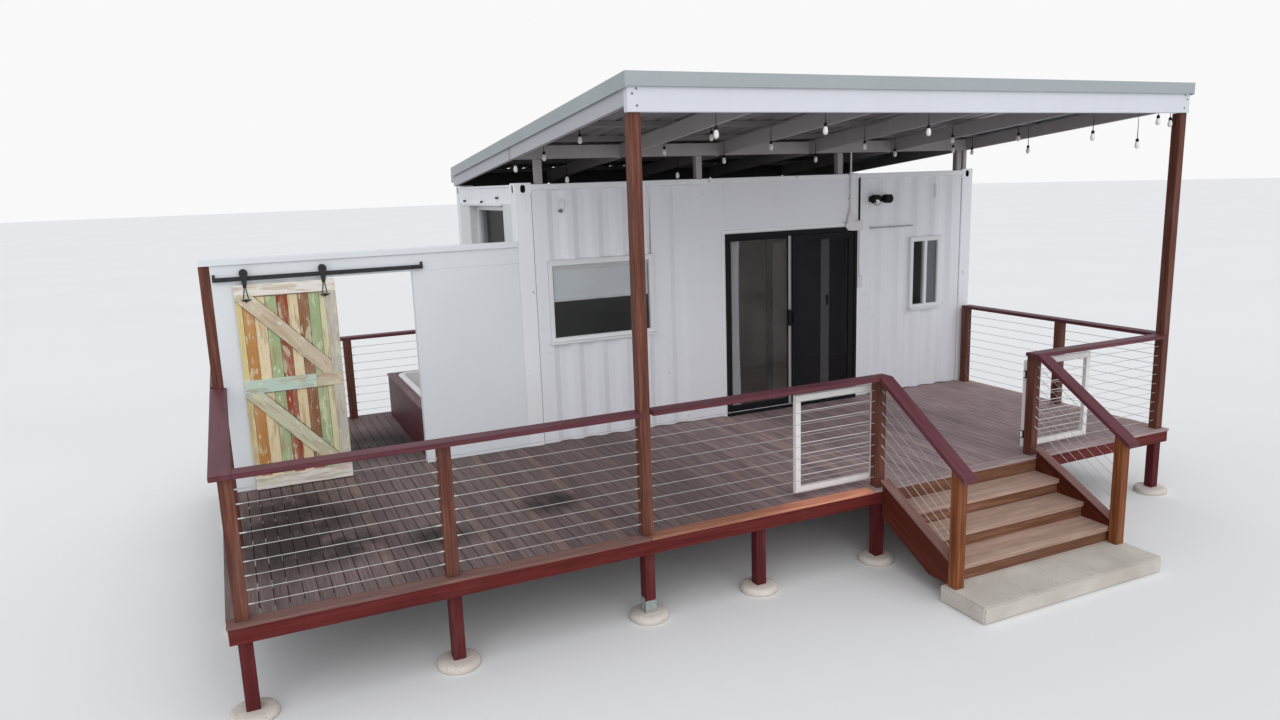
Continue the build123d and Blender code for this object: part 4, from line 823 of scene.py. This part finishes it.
wire_nodes = [n for n in NODES if n.startswith("wires_")]
bm = bmesh.new()
for node in wire_nodes:
    for _, _, points in solids(node):
        far = int(np.argmax(((points - points[0]) ** 2).sum(1)))
        near = int(np.argmax(((points - points[far]) ** 2).sum(1)))
        along = (Vector(points[far]) - Vector(points[near])).normalized()
        for end, way in ((near, along), (far, -along)):
            cap = points[np.abs((points - points[end]) @ np.array(along)) < 0.02]
            centre = Vector(cap.mean(0))
            add_rod(bm, centre, centre + way * 0.03, 0.006, 8, 0.0045)
            add_rod(bm, centre + way * 0.03, centre + way * 0.042, 0.0045, 8, 0.003)
piece("wire_ferrules", bm, STEEL)

for node in ("left_gate", "right_gate"):
    dressed(node, GATE_WHITE, 0.0015)

# Roof

dressed("front_beam", BEAM, 0.004)
dressed("mid_beam", MID_BEAM, 0.004)
# The end rafters' outer faces take the lighter copy (painted light); the rest keep the painted
# shade.
rafters_low, rafters_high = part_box("rafters")
refinish(dressed("rafters", SHADED), SIDE_LIT, lambda face: (
    min(face.center.x - rafters_low.x, rafters_high.x - face.center.x) < 0.003))
dressed("purlins", PURLIN, 0.002)
dressed("roof_sheet", SHEET, 0)
dressed("roof_cappings", CAPPING, 0.001)
dressed("rear_gutter", CAPPING, 0)

# Corner returns of the side cappings, roof screws, and the beam's bolts

FALL = 0.0957
RETURN_DEPTH = 0.112
EDGE_RIB = 0.14
FIRST_PURLIN, PURLIN_PITCH = -2.833, 0.8653
cap_low, cap_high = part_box("roof_cappings")
y0, y1 = cap_low.y + 0.0035, cap_low.y + 0.1395


def cap_line(y):
    """Height of the cappings' top at a place along the fall."""
    return cap_high.z - FALL * (y - cap_low.y)


bm = bmesh.new()
for x, top, thick in (
    (cap_low.x, 0.003, 0.003), (cap_high.x - 0.003, 0.003, 0.003),
    (cap_low.x + 0.003, 0.100, 0.02), (cap_high.x - 0.003, 0.100, -0.02),
):
    corners = ((y0, top), (y1, top), (y1, RETURN_DEPTH), (y0, RETURN_DEPTH))
    add_slab(bm, 0, x, [(y, cap_line(y) - drop) for y, drop in corners], thick)
piece("capping_returns", bm, CAPPING, "roof_cappings")

bm = bmesh.new()
sheet_low, sheet_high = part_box("roof_sheet")
rib_count = int((sheet_high.x - sheet_low.x) / 0.2)
rib_pitch = (sheet_high.x - sheet_low.x) / rib_count
for y in [FIRST_PURLIN + PURLIN_PITCH * k for k in range(7)]:
    for rib in range(rib_count):
        x = sheet_low.x + (rib + 0.5) * rib_pitch
        if EDGE_RIB < x - sheet_low.x < sheet_high.x - sheet_low.x - EDGE_RIB and y > y1:
            add_bolt(bm, (x, y, cap_line(y) - 0.0045), (0, FALL, 1), 0.011, 0.007, 8)
cap_screw = (0.005, 0.003, 8)
for edge, way in ((cap_low.x, -1), (cap_high.x, 1)):
    for y in [-2.7 + 0.6 * k for k in range(9)]:
        add_bolt(bm, (edge, y, cap_line(y) - 0.055), (way, 0, 0), *cap_screw)
for x in [cap_low.x + 0.08 + 0.59 * k for k in range(11)]:
    add_bolt(bm, (x, cap_low.y, cap_high.z - 0.085), FRONT, *cap_screw)
piece("roof_screws", bm, CAPPING)

bm = bmesh.new()
beam_low, beam_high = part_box("front_beam")
for x, z in ((-0.032, 4.051), (-0.065, 4.017), (-0.029, 3.935)):
    for place in (x, beam_low.x + beam_high.x - x):
        add_bolt(bm, (place, beam_low.y, z), FRONT, 0.009, 0.006, 6)
piece("beam_bolts", bm, SLATE)

# Screen wall

for node in ("screen_wall_left", "screen_wall_right", "screen_wall_head"):
    dressed(node, SCREEN_WHITE)

# Barn door: recycled planks behind a painted frame

CREAM, GREEN = (0.80, 0.64, 0.39), (0.33, 0.42, 0.22)
YELLOW, ORANGE, RED = (0.74, 0.60, 0.27), (0.50, 0.22, 0.05), (0.30, 0.06, 0.025)
BROWN, PALE = (0.26, 0.10, 0.04), (0.66, 0.62, 0.38)
CHALK, AQUA = (0.80, 0.76, 0.71), (0.50, 0.63, 0.54)
SAND, GREY = (0.56, 0.47, 0.34), (0.52, 0.50, 0.44)
UPPER_BRACE, LOWER_BRACE = (0.58, 0.49, 0.36), (0.56, 0.55, 0.40)
BRACE_SHADOW, RAIL_SHADOW = (0.035, 0.02, 0.014), (0.06, 0.035, 0.025)
STILE, TOP_RAIL, BOTTOM_RAIL, FRAME_DEPTH = 0.095, 0.105, 0.12, 0.018
PLANK_GAP = 0.0018  # to each side of a plank
BRACE_WIDTH, BRACE_TOE, BRACE_FOOT = 0.130, 0.027, 0.075

door_low, door_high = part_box("barn_door")
left, right, bottom, top = door_low.x, door_high.x, door_low.z, door_high.z
stile_x, rail_z, foot_z = right - STILE, top - TOP_RAIL, bottom + BOTTOM_RAIL
y_face, y_back = door_low.y, door_high.y
y_mid = y_face + FRAME_DEPTH
plank_edges = (-2.665, -2.613, -2.520, -2.421, -2.321, -2.228, -2.138, -2.047, -1.952, -1.803)
plank_paints = (YELLOW, ORANGE, CREAM, GREEN, RED, CREAM, BROWN, GREEN, PALE)
bm = painted_mesh()
for a, b, paint in zip(plank_edges, plank_edges[1:], plank_paints):
    shift = rng.uniform(0.9, 1.08)
    paint = tuple(shift * c for c in paint)
    x0, x1 = at(a, 0, 0).x + PLANK_GAP, at(b, 0, 0).x - PLANK_GAP
    add_box(bm, (x0, y_mid, bottom), (x1, y_back, top), paint)
mid_low, mid_high = at(0, 0, 0.925).z, at(0, 0, 1.048).z
for (x0, zl), (x1, zh), paint in (
    ((left, rail_z), (right, top), CHALK),
    ((left, mid_low), (left + 0.62, mid_high), AQUA),
    ((left + 0.622, mid_low), (right, mid_high), SAND),
    ((left, bottom), (right, foot_z), CHALK),
    ((stile_x, mid_high + 0.001), (right, rail_z - 0.001), GREY),
    ((stile_x, foot_z + 0.001), (right, mid_low - 0.001), GREY),
):
    add_box(bm, (x0, y_face, zl), (x1, y_mid - 0.0005, zh), paint)
for low_z, high_z, paint in ((mid_high, rail_z, UPPER_BRACE), (foot_z, mid_low, LOWER_BRACE)):
    slope = (high_z - BRACE_TOE - low_z) / (stile_x - BRACE_FOOT - left)
    plumb = BRACE_WIDTH * math.hypot(1, slope)
    outline = (
        (left, high_z - 0.001),
        (left, high_z - BRACE_TOE),
        (stile_x - BRACE_FOOT, low_z + 0.001),
        (stile_x - 0.001, low_z + 0.001),
        (stile_x - 0.001, low_z + plumb - BRACE_FOOT * slope),
        (left + (plumb - BRACE_TOE) / slope, high_z - 0.001),
    )
    add_slab(bm, 1, y_face, outline, y_mid - y_face - 0.0005, paint)
    for lift, start, end in ((-0.0085, outline[1], outline[2]), (0.0085, outline[5], outline[4])):
        line = (start, end, (end[0], end[1] + lift), (start[0], start[1] + lift))
        add_slab(bm, 1, y_mid - 0.002, line, 0.0018, BRACE_SHADOW)
for z, depth in ((rail_z, 0.010), (mid_low, 0.008)):
    add_box(bm, (left, y_mid - 0.002, z - depth), (stile_x, y_mid - 0.0002, z - 0.001), RAIL_SHADOW)
edged(bm, 0.0012)
piece("barn_door_boards", bm, PLANKS, "barn_door", True)

dressed("door_track", DARK_STEEL, 0.001)

track_low, track_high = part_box("door_track")
bm = bmesh.new()
for k in range(6):
    x = track_low.x + 0.09 + k * (track_high.x - track_low.x - 0.18) / 5
    add_bolt(bm, (x, track_low.y, (track_low.z + track_high.z) / 2), FRONT, 0.011, 0.008, 6)
for x in (track_low.x + 0.002, track_high.x - 0.026):
    add_box(bm, (x, track_low.y - 0.004, track_high.z - 0.03),
            (x + 0.024, track_low.y + 0.012, track_high.z + 0.028))
edged(bm, 0.0015)
piece("track_fittings", bm, DARK_STEEL, "door_track")

# Hangers: a strap that tapers down from its wheel, two thin legs and a pointed foot

STRAP = 0.006
CROWN = 0.038
WHEEL = ((0.0, 0.006), (0.022, 0.006), (0.0225, 0.012), (0.028, 0.033), (0.036, 0.031),
         (0.043, 0.033), (0.0445, 0.012), (0.045, 0.006))
# The foot's outline to the right of its middle, from the hanger's middle and the ankle
WING = ((0.010, 0.002), (0.022, -0.006), (0.046, 0.004), (0.030, -0.018), (0.008, -0.022))
bm = bmesh.new()
for low, high, _ in solids("door_hangers"):
    x, y = (low.x + high.x) / 2, low.y
    crown, knee, ankle = high.z - 0.039, high.z - 0.166, high.z - 0.272
    turns = [math.pi * k / 10 for k in range(11)]
    strap = [(x + CROWN * math.cos(a), crown + CROWN * math.sin(a)) for a in turns]
    strap += [(x - 0.026, crown - 0.055), (x - 0.013, high.z - 0.167),
              (x + 0.013, high.z - 0.167), (x + 0.026, crown - 0.055)]
    add_slab(bm, 1, y, strap, STRAP)
    for side in (-1, 1):
        leg = ((0.001, knee), (0.009, knee), (0.0255, ankle), (0.0175, ankle))
        add_slab(bm, 1, y, [(x + side * px, pz) for px, pz in leg], STRAP)
    wing = [(-px, pz) for px, pz in (WING[2], WING[1], WING[0])]
    wing += [*WING, (0.0, -0.036), *((-px, pz) for px, pz in (WING[4], WING[3]))]
    add_slab(bm, 1, y, [(x + px, ankle + pz) for px, pz in wing], STRAP)
    axle = track_high.z + 0.033
    add_lathe(bm, (x, y + STRAP - 0.0005, axle), (0, 1, 0), WHEEL, 20)
    add_bolt(bm, (x, y, axle), FRONT, 0.013, 0.007, 6)
    for z in (high.z - 0.10, high.z - 0.145, ankle - 0.009):
        add_bolt(bm, (x, y, z), FRONT, 0.007, 0.006, 6)
edged(bm, 0.001, 1, 40.0)
piece("hangers", bm, DARK_STEEL, "door_hangers", True)

# Bath, with a mitred capping of four boards

dressed("bath_surround", BATH_SIDE, 0.004)
dressed("bath_tub", ENAMEL, 0)

MITRE = 0.001
bm = bmesh.new()
out_low, out_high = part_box("bath_surround")
tub_low, tub_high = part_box("bath_tub")
ox0, ox1, oy0, oy1 = out_low.x - 0.010, out_high.x + 0.002, out_low.y - 0.010, out_high.y + 0.010
ix0, ix1, iy0, iy1 = tub_low.x - 0.002, tub_high.x + 0.002, tub_low.y - 0.002, tub_high.y + 0.002
outlines = [
    ((xo, oy0 + MITRE), (xi, iy0 + MITRE), (xi, iy1 - MITRE), (xo, oy1 - MITRE))
    for xo, xi in ((ox0, ix0), (ox1, ix1))
] + [
    ((ox0 + MITRE, yo), (ix0 + MITRE, yi), (ix1 - MITRE, yi), (ox1 - MITRE, yo))
    for yo, yi in ((oy0, iy0), (oy1, iy1))
]
for outline in outlines:
    add_slab(bm, 2, out_high.z + 0.0005, outline, 0.018)
edged(bm, 0.002)
piece("bath_capping", bm, BATH_CAP, "bath_surround")

# Doors: the fixed sash has slimmer members than the CAD's, so its pane starts at PANE_EDGE

SASH_LEFT, SASH_TOP, SASH_FACE = 2.361, 2.75, -0.083
PANE_EDGE, PANE_END = 2.398, 3.166
rows = []
for low, high, _ in solids("door_frame"):
    if 0.3 < high.x - low.x < 1.2:  # wider than a jamb, narrower than the head
        slim = PANE_EDGE - low.x
        rows += opened(low, high, PANE_EDGE, PANE_END, low.z + 2 * slim, high.z - slim)
    else:
        rows.append((low, high))
boxes("door_surround", rows, BLACK, "door_frame", 0.0018, 1, True)
rows = []
for low, high, _ in solids("fixed_glass"):
    if high.z - low.z > 1.5:  # taller than the windows' panes
        low = Vector((PANE_EDGE, low.y, low.z))
        high = Vector((high.x, high.y, SASH_TOP - PANE_EDGE + SASH_LEFT))
    rows.append((low, high))
panes = boxes("fixed_panes", rows, GLASS, "fixed_glass", 0.0006, 1, True)
refinish(panes, DOOR_GLASS, lambda face: PANE_EDGE - 0.01 < face.center.x < 3.3)
dressed("door_trim", TRIM_WHITE, 0.002)
dressed("sliding_door_panel", BLACK, 0.002)
dressed("screen_door_frame", BLACK, 0.002)
dressed("window_frames", FRAME_WHITE)
dressed("flood_light", BLACK, 0.002)
dressed("gate_hinges", BLACK, 0)

# The fixed sash's interlock, the screen door's pull, the glass leaf's pale stile and its latch

# The interlock's pale colour is a painted highlight along its edge.
boxes("sash_interlock", [((3.172, SASH_FACE - 0.002, 0.742), (3.224, SASH_FACE + 0.004, 2.738))],
      EDGE_HIGHLIGHT, None, 0.0008)

screen_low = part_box("screen_door_frame")[0]
x, y = screen_low.x, screen_low.y
boxes("screen_pull", [((x + a, y - 0.0175, z0), (x + b, y + back, z1)) for a, b, back, z0, z1 in (
    (0.003, 0.022, 0.001, 1.690, 1.880), (-0.068, -0.028, -0.0105, 1.690, 1.880),
    (-0.0285, 0.0035, -0.0105, 1.690, 1.712), (-0.0285, 0.0035, -0.0105, 1.858, 1.880),
)], BLACK, "screen_door_frame", 0.0012)

leaf_low, leaf_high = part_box("sliding_door_panel")
y = leaf_low.y
boxes("leaf_stile", [((leaf_high.x - 0.124, y - 0.0015, leaf_low.z + 0.012),
                      (leaf_high.x - 0.004, y + 0.004, leaf_high.z - 0.012))],
      FRAME_WHITE, "sliding_door_panel", 0.0007)
x = leaf_high.x - 0.038
boxes("leaf_latch", [
    ((x - 0.012, y - 0.006, 1.875), (x + 0.012, y - 0.001, 2.0)),
    ((x - 0.006, y - 0.022, 1.89), (x + 0.006, y - 0.005, 1.985)),
], BLACK, "sliding_door_panel", 0.002, 2)

# Window sills, drip caps and glazing beads

WINDOW_FACE, BEAD = -0.088, 0.004


def frame_trim(bm, x0, x1, z0, z1, lights):
    """Sill, drip cap and beads of a front window; each light is (x0, x1, z0, z1)."""
    y, back, behind = WINDOW_FACE, WINDOW_FACE + 0.02, WINDOW_FACE + 0.026
    sill = ((back, z0 + 0.016), (y - 0.038, z0 + 0.004), (y - 0.038, z0 - 0.014),
            (back, z0 - 0.010))
    add_slab(bm, 0, x0 - 0.012, sill, x1 - x0 + 0.024)
    drip = ((back, z1 + 0.014), (y - 0.016, z1 + 0.006), (y - 0.016, z1 - 0.004),
            (back, z1 - 0.004))
    add_slab(bm, 0, x0 - 0.010, drip, x1 - x0 + 0.020)
    for a, b, c, d in lights:
        inner = (a + BEAD, b - BEAD, c + BEAD, d - BEAD)
        for low, high in opened((a, y + 0.012, c), (b, behind, d), *inner):
            add_box(bm, low, high)


bm = bmesh.new()
main_light = (0.266, 1.376, 1.825, 2.585)
frame_trim(bm, 0.221, 1.421, 1.78, 2.63, [main_light])
small_lights = [(a, b, 1.771, 2.567) for a, b in ((5.034, 5.207), (5.253, 5.426))]
frame_trim(bm, 4.989, 5.471, 1.726, 2.612, small_lights)
edged(bm, 0.0015)
piece("window_trims", bm, FRAME_WHITE, "window_frames")
boxes("pane_screen", [((5.255, -0.0525, 1.773), (5.424, -0.0505, 2.565))], FLY_SCREEN)

# Blind: its box, its bottom bar and the hung cloth, close behind the glass

x0, x1, _, top = main_light
BLIND_FACE = -0.0535
box = boxes("blind_box", [((x0 + 0.002, BLIND_FACE, top - 0.056),
                           (x1 - 0.002, -0.030, top - 0.001))],
            FRAME_WHITE, "window_blind", 0.003, 2)
blind_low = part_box("window_blind")[0].z
bar = boxes("blind_bar", [((x0 + 0.006, BLIND_FACE, blind_low),
                           (x1 - 0.006, -0.0465, blind_low + 0.014))],
            FRAME_WHITE, "window_blind", 0.002, 2)


def cloth_grid(place, across, down, thick):
    """A thin cloth whose points come from place(share across, share down)."""
    bm = bmesh.new()
    front = [[bm.verts.new(place(i / across, j / down)) for j in range(down + 1)]
             for i in range(across + 1)]
    for left, right in zip(front, front[1:]):
        for j in range(down):
            bm.faces.new((left[j], right[j], right[j + 1], left[j + 1]))
    bmesh.ops.recalc_face_normals(bm, faces=bm.faces)
    bmesh.ops.solidify(bm, geom=bm.faces[:], thickness=thick)
    return bm


def blind_place(s, t):
    """A flat cloth with a faint wave that dies out at its head and its foot."""
    wave = 0.0006 * math.sin(9 * s + 2 * t) * math.sin(math.pi * t)
    z = top - 0.05 - t * (top - 0.055 - blind_low)
    return (x0 + 0.008 + s * (x1 - x0 - 0.016), -0.0505 + wave, z)


bm = cloth_grid(blind_place, 48, 12, 0.0012)
blind = piece("hung_blind", bm, BLIND, "window_blind", True, True)

# Curtain drawn to the side inside the glazed door, on a rail over the opening

rail_y, rail_z = 0.062, 2.885
RAIL_ENDS = (2.20, 4.24)
FINIAL = ((0, 0.008), (0.004, 0.016), (0.014, 0.018), (0.02, 0.012))
bm = bmesh.new()
add_rod(bm, (RAIL_ENDS[0], rail_y, rail_z), (RAIL_ENDS[1], rail_y, rail_z), 0.011, 14)
for x in (RAIL_ENDS[0] - 0.02, RAIL_ENDS[1]):
    add_lathe(bm, (x, rail_y, rail_z), (1, 0, 0), FINIAL, 14)
for x in (2.24, 3.22, 4.20):
    add_box(bm, (x - 0.012, 0.0185, rail_z - 0.03), (x + 0.012, 0.024, rail_z + 0.03))
    add_box(bm, (x - 0.005, 0.0235, rail_z - 0.006), (x + 0.005, rail_y, rail_z + 0.004))
rail = piece("curtain_rail", bm, STEEL)

FOLDS = 7
curtain_x = (2.30, 2.60)
curtain_z = (2.868, 0.735)


def curtain_place(s, t):
    """Deep folds at the head that loosen and drift a little on the way down."""
    phase = 2 * math.pi * FOLDS * s
    drift = 0.010 * math.sin(3.1 * s + 2.2 * t) * t
    squeeze = 0.5 + (s - 0.5) * (1 - 0.16 * math.sin(math.pi * min(1.0, 1.15 * t)))
    x = curtain_x[0] + squeeze * (curtain_x[1] - curtain_x[0]) + 0.006 * math.sin(2 * phase) + drift
    depth = 0.024 + 0.005 * math.sin(5 * s + 1.7 * t)
    y = rail_y + 0.006 + depth * math.sin(phase + 0.35 * math.sin(4 * t + 6 * s))
    return (x, y, curtain_z[0] + t * (curtain_z[1] - curtain_z[0]))


bm = cloth_grid(curtain_place, 16 * FOLDS, 40, 0.0015)
curtain = piece("door_curtain", bm, CURTAIN, smooth=True)

# Conduit that widens to a bell over the door, with its cover

pipe_x, pipe_y, pipe_reach = 4.046, -0.097, 0.0235
pipe_low, pipe_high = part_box("wall_conduit")
bell = ((0.0, 0.047), (0.006, 0.050), (0.03, 0.050), (0.07, 0.044), (0.105, 0.030), (0.14, 0.018),
        (0.18, 0.0125), (0.26, 0.0105), (pipe_high.z - pipe_low.z, 0.0105))
bm = bmesh.new()
add_lathe(bm, (pipe_x, pipe_y, pipe_low.z), UP, bell, 24)
for v in bm.verts:
    v.co.y = pipe_y + max(-pipe_reach, min(pipe_reach, v.co.y - pipe_y))
for z in (3.12, 3.40):
    add_box(bm, (pipe_x - 0.021, pipe_y - 0.013, z), (pipe_x + 0.021, -0.0725, z + 0.018))
piece("bell_conduit", bm, PLASTIC, "wall_conduit", True)

bm = bmesh.new()
cover = ((3.955, 2.800), (3.990, 2.760), (4.070, 2.7525), (4.208, 2.7525), (4.214, 2.862),
         (3.992, 2.862), (3.965, 2.835))
add_slab(bm, 1, -0.132, cover, 0.050)
edged(bm, 0.006, 3)
piece("conduit_cover", bm, PLASTIC)

# Dark cover strip, the switch on its conduit, and a slim rail beside them

boxes("cover_strip", [((4.181, -0.090, 2.872), (4.197, -0.060, 3.375))], BLACK, None, 0.003, 2)

bm = bmesh.new()
add_rod(bm, (4.189, -0.086, 2.20), (4.189, -0.086, 2.852), 0.009, 12)
for low, high in (
    ((4.168, -0.092, 2.846), (4.212, -0.060, 2.872)),
    ((4.150, -0.104, 2.060), (4.226, -0.060, 2.205)),
    ((4.160, -0.108, 2.080), (4.216, -0.103, 2.185)),
    ((4.172, -0.089, 2.33), (4.206, -0.060, 2.33 + 0.014)),
    ((4.172, -0.089, 2.58), (4.206, -0.060, 2.58 + 0.014)),
):
    add_box(bm, low, high)
edged(bm, 0.0015, 1, 50.0)
piece("switch_conduit", bm, PLASTIC)

bm = bmesh.new()
add_rod(bm, (4.37, -0.098, 2.769), (5.0, -0.098, 2.769), 0.008, 10)
for x in (4.40, 4.685, 4.97):
    add_box(bm, (x - 0.008, -0.100, 2.760), (x + 0.008, -0.040, 2.778))
piece("wall_rail", bm, CAPPING)

# Vents of the container, each a plate with slats, and a round plug beside the left one

SLAT_PITCH = 0.012
rows = []
for x0, x1, z0, z1 in ((0.386, 0.430, 3.172, 3.254), (5.358, 5.386, 3.100, 3.262)):
    rows.append(((x0, -0.088, z0), (x1, -0.036, z1)))
    for k in range(int((z1 - z0 - 0.01) / SLAT_PITCH)):
        z = z0 + 0.008 + SLAT_PITCH * k
        rows.append(((x0 + 0.005, -0.0905, z), (x1 - 0.005, -0.0875, z + 0.005)))
boxes("wall_vents", rows, FRAME_WHITE, None, 0.0008)
bm = bmesh.new()
add_lathe(bm, (0.396, -0.036, 3.142), FRONT, ((0, 0.017), (0.044, 0.017), (0.048, 0.012)), 14)
piece("vent_plug", bm, SLATE)

# Lens of the left lamp, turned down to the deck

bm = bmesh.new()
tilt = (-0.30, -0.90, -0.32)
lens_foot = (4.376, -0.158, 3.088)
hood = ((0.0, 0.034), (0.020, 0.041), (0.034, 0.042), (0.036, 0.036))
dome = ((0.0, 0.030), (0.0365, 0.033), (0.040, 0.022), (0.042, 0.006))
add_lathe(bm, lens_foot, tilt, hood, 22, 1)
add_lathe(bm, lens_foot, tilt, dome, 22)
piece("lamp_lens", bm, [LENS, BLACK], "flood_light", smooth=True)

# Festoon bulbs, each in a holder on a stem under the nearest roof timber: x, y, z and the drop

BULBS = (
    (0.24, -1.102, 3.80, 0.11), (0.19, -0.236, 3.68, 0.14), (-0.06, -0.075, 3.58, 0.087),
    (0.48, -0.075, 3.46, 0.207), (1.52, -0.236, 3.71, 0.12), (1.75, -0.075, 3.47, 0.197),
    (1.60, -1.102, 3.81, 0.10), (0.63, -2.90, 3.74, 0.151), (2.24, -0.236, 3.61, 0.21),
    (2.28, -1.102, 3.71, 0.19), (3.44, -0.236, 3.60, 0.23), (1.62, -2.90, 3.76, 0.131),
    (3.44, -1.102, 3.70, 0.21), (4.58, -0.236, 3.64, 0.18), (2.67, -2.90, 3.74, 0.151),
    (4.64, -1.102, 3.75, 0.16), (5.48, -0.236, 3.67, 0.16), (5.79, -0.236, 3.64, 0.19),
    (5.63, -1.102, 3.76, 0.15), (5.79, -1.102, 3.62, 0.29), (4.63, -2.90, 3.68, 0.211),
    (5.24, -2.90, 3.60, 0.291), (5.515, -2.90, 3.816, 0.08), (5.69, -2.90, 3.796, 0.10),
)
GLOBE = ((-0.040, 0.003), (-0.037, 0.011), (-0.029, 0.0175), (-0.016, 0.021), (0.0, 0.020),
         (0.016, 0.0155), (0.028, 0.012))
HOLDER = ((0.024, 0.013), (0.028, 0.015), (0.050, 0.014), (0.056, 0.004))
bm = bmesh.new()
for x, y, z, drop in BULBS:
    add_lathe(bm, (x, y, z), UP, GLOBE, 14)
    add_lathe(bm, (x, y, z), UP, (*HOLDER, (max(drop, 0.058) + 0.004, 0.0016)), 12, 1)
piece("festoon_bulbs", bm, [BULB, BLACK], smooth=True)

# CAD nodes that are carried over as they are

for node in ("sliding_door_glass", "screen_door_mesh", *wire_nodes):
    finish = {"sliding_door_glass": DOOR_GLASS, "screen_door_mesh": MESH}.get(node, STEEL)
    for material_slot in NODES[node].material_slots:
        material_slot.material = finish

# Floor, light and camera

bpy.ops.mesh.primitive_plane_add(size=400.0)
floor = bpy.context.object
floor.name = "studio_floor"
ground = Finish("studio_floor", 0.9)
patches = ground.patches(0.3, 0.7, 0.2, 2.0)
ground.colour(ground.mix(patches, (0.80, 0.80, 0.80), (0.82, 0.82, 0.81)))
floor.data.materials.append(ground.material)

scene = bpy.context.scene
scene.view_settings.view_transform = "Standard"
world = bpy.data.worlds.new("studio")
scene.world = world
world.use_nodes = True
nodes, link = world.node_tree.nodes, world.node_tree.links.new
sky = nodes["Background"]
pale = nodes.new("ShaderNodeBackground")
for background, colour, strength in (
    (sky, (0.93, 0.95, 1.0, 1.0), 0.75), (pale, (1, 1, 1, 1), 0.95),
):
    background.inputs["Color"].default_value = colour
    background.inputs["Strength"].default_value = strength
rays = nodes.new("ShaderNodeLightPath")
either = nodes.new("ShaderNodeMath")
either.operation = "MAXIMUM"
link(rays.outputs["Is Camera Ray"], either.inputs[0])
link(rays.outputs["Is Transmission Ray"], either.inputs[1])
blend = nodes.new("ShaderNodeMixShader")
for socket, source in enumerate((either, sky, pale)):
    link(source.outputs[0], blend.inputs[socket])
link(blend.outputs[0], nodes["World Output"].inputs["Surface"])


def sun(name, strength, spread, pitch, turn):
    """A soft sun; its spread, pitch and turn are in degrees."""
    lamp = bpy.data.lights.new(name, "SUN")
    lamp.energy = strength
    lamp.angle = math.radians(spread)
    made = bpy.data.objects.new(name, lamp)
    made.rotation_euler = (math.radians(pitch), 0, math.radians(turn))
    scene.collection.objects.link(made)


sun("key", 1.1, 70.0, 68.0, -15.0)
sun("top", 0.45, 60.0, 12.0, 20.0)

PHOTO_WIDTH, FOCAL_PIXELS, SENSOR = 1280, 902.25, 36.0
VIEWPOINT = (-2.8082, -8.9390, 3.3958)
YAW, PITCH_DOWN, ROLL = 24.497, 11.09, -1.95
camera = bpy.data.cameras.new("photo_view")
camera.sensor_width = SENSOR
camera.lens = FOCAL_PIXELS / PHOTO_WIDTH * SENSOR
camera.clip_end = 1000.0
viewer = bpy.data.objects.new("photo_view", camera)
yaw, pitch, roll = math.radians(YAW), math.radians(PITCH_DOWN), math.radians(ROLL)
forward = Vector((
    math.sin(yaw) * math.cos(pitch), math.cos(yaw) * math.cos(pitch), -math.sin(pitch)))
right = Vector((math.cos(yaw), -math.sin(yaw), 0))
up = right.cross(forward)
right, up = (right * math.cos(roll) + up * math.sin(roll),
             up * math.cos(roll) - right * math.sin(roll))
turn = Matrix((right, up, -forward)).transposed().to_4x4()
viewer.matrix_world = Matrix.Translation(VIEWPOINT) @ turn
scene.collection.objects.link(viewer)
scene.camera = viewer
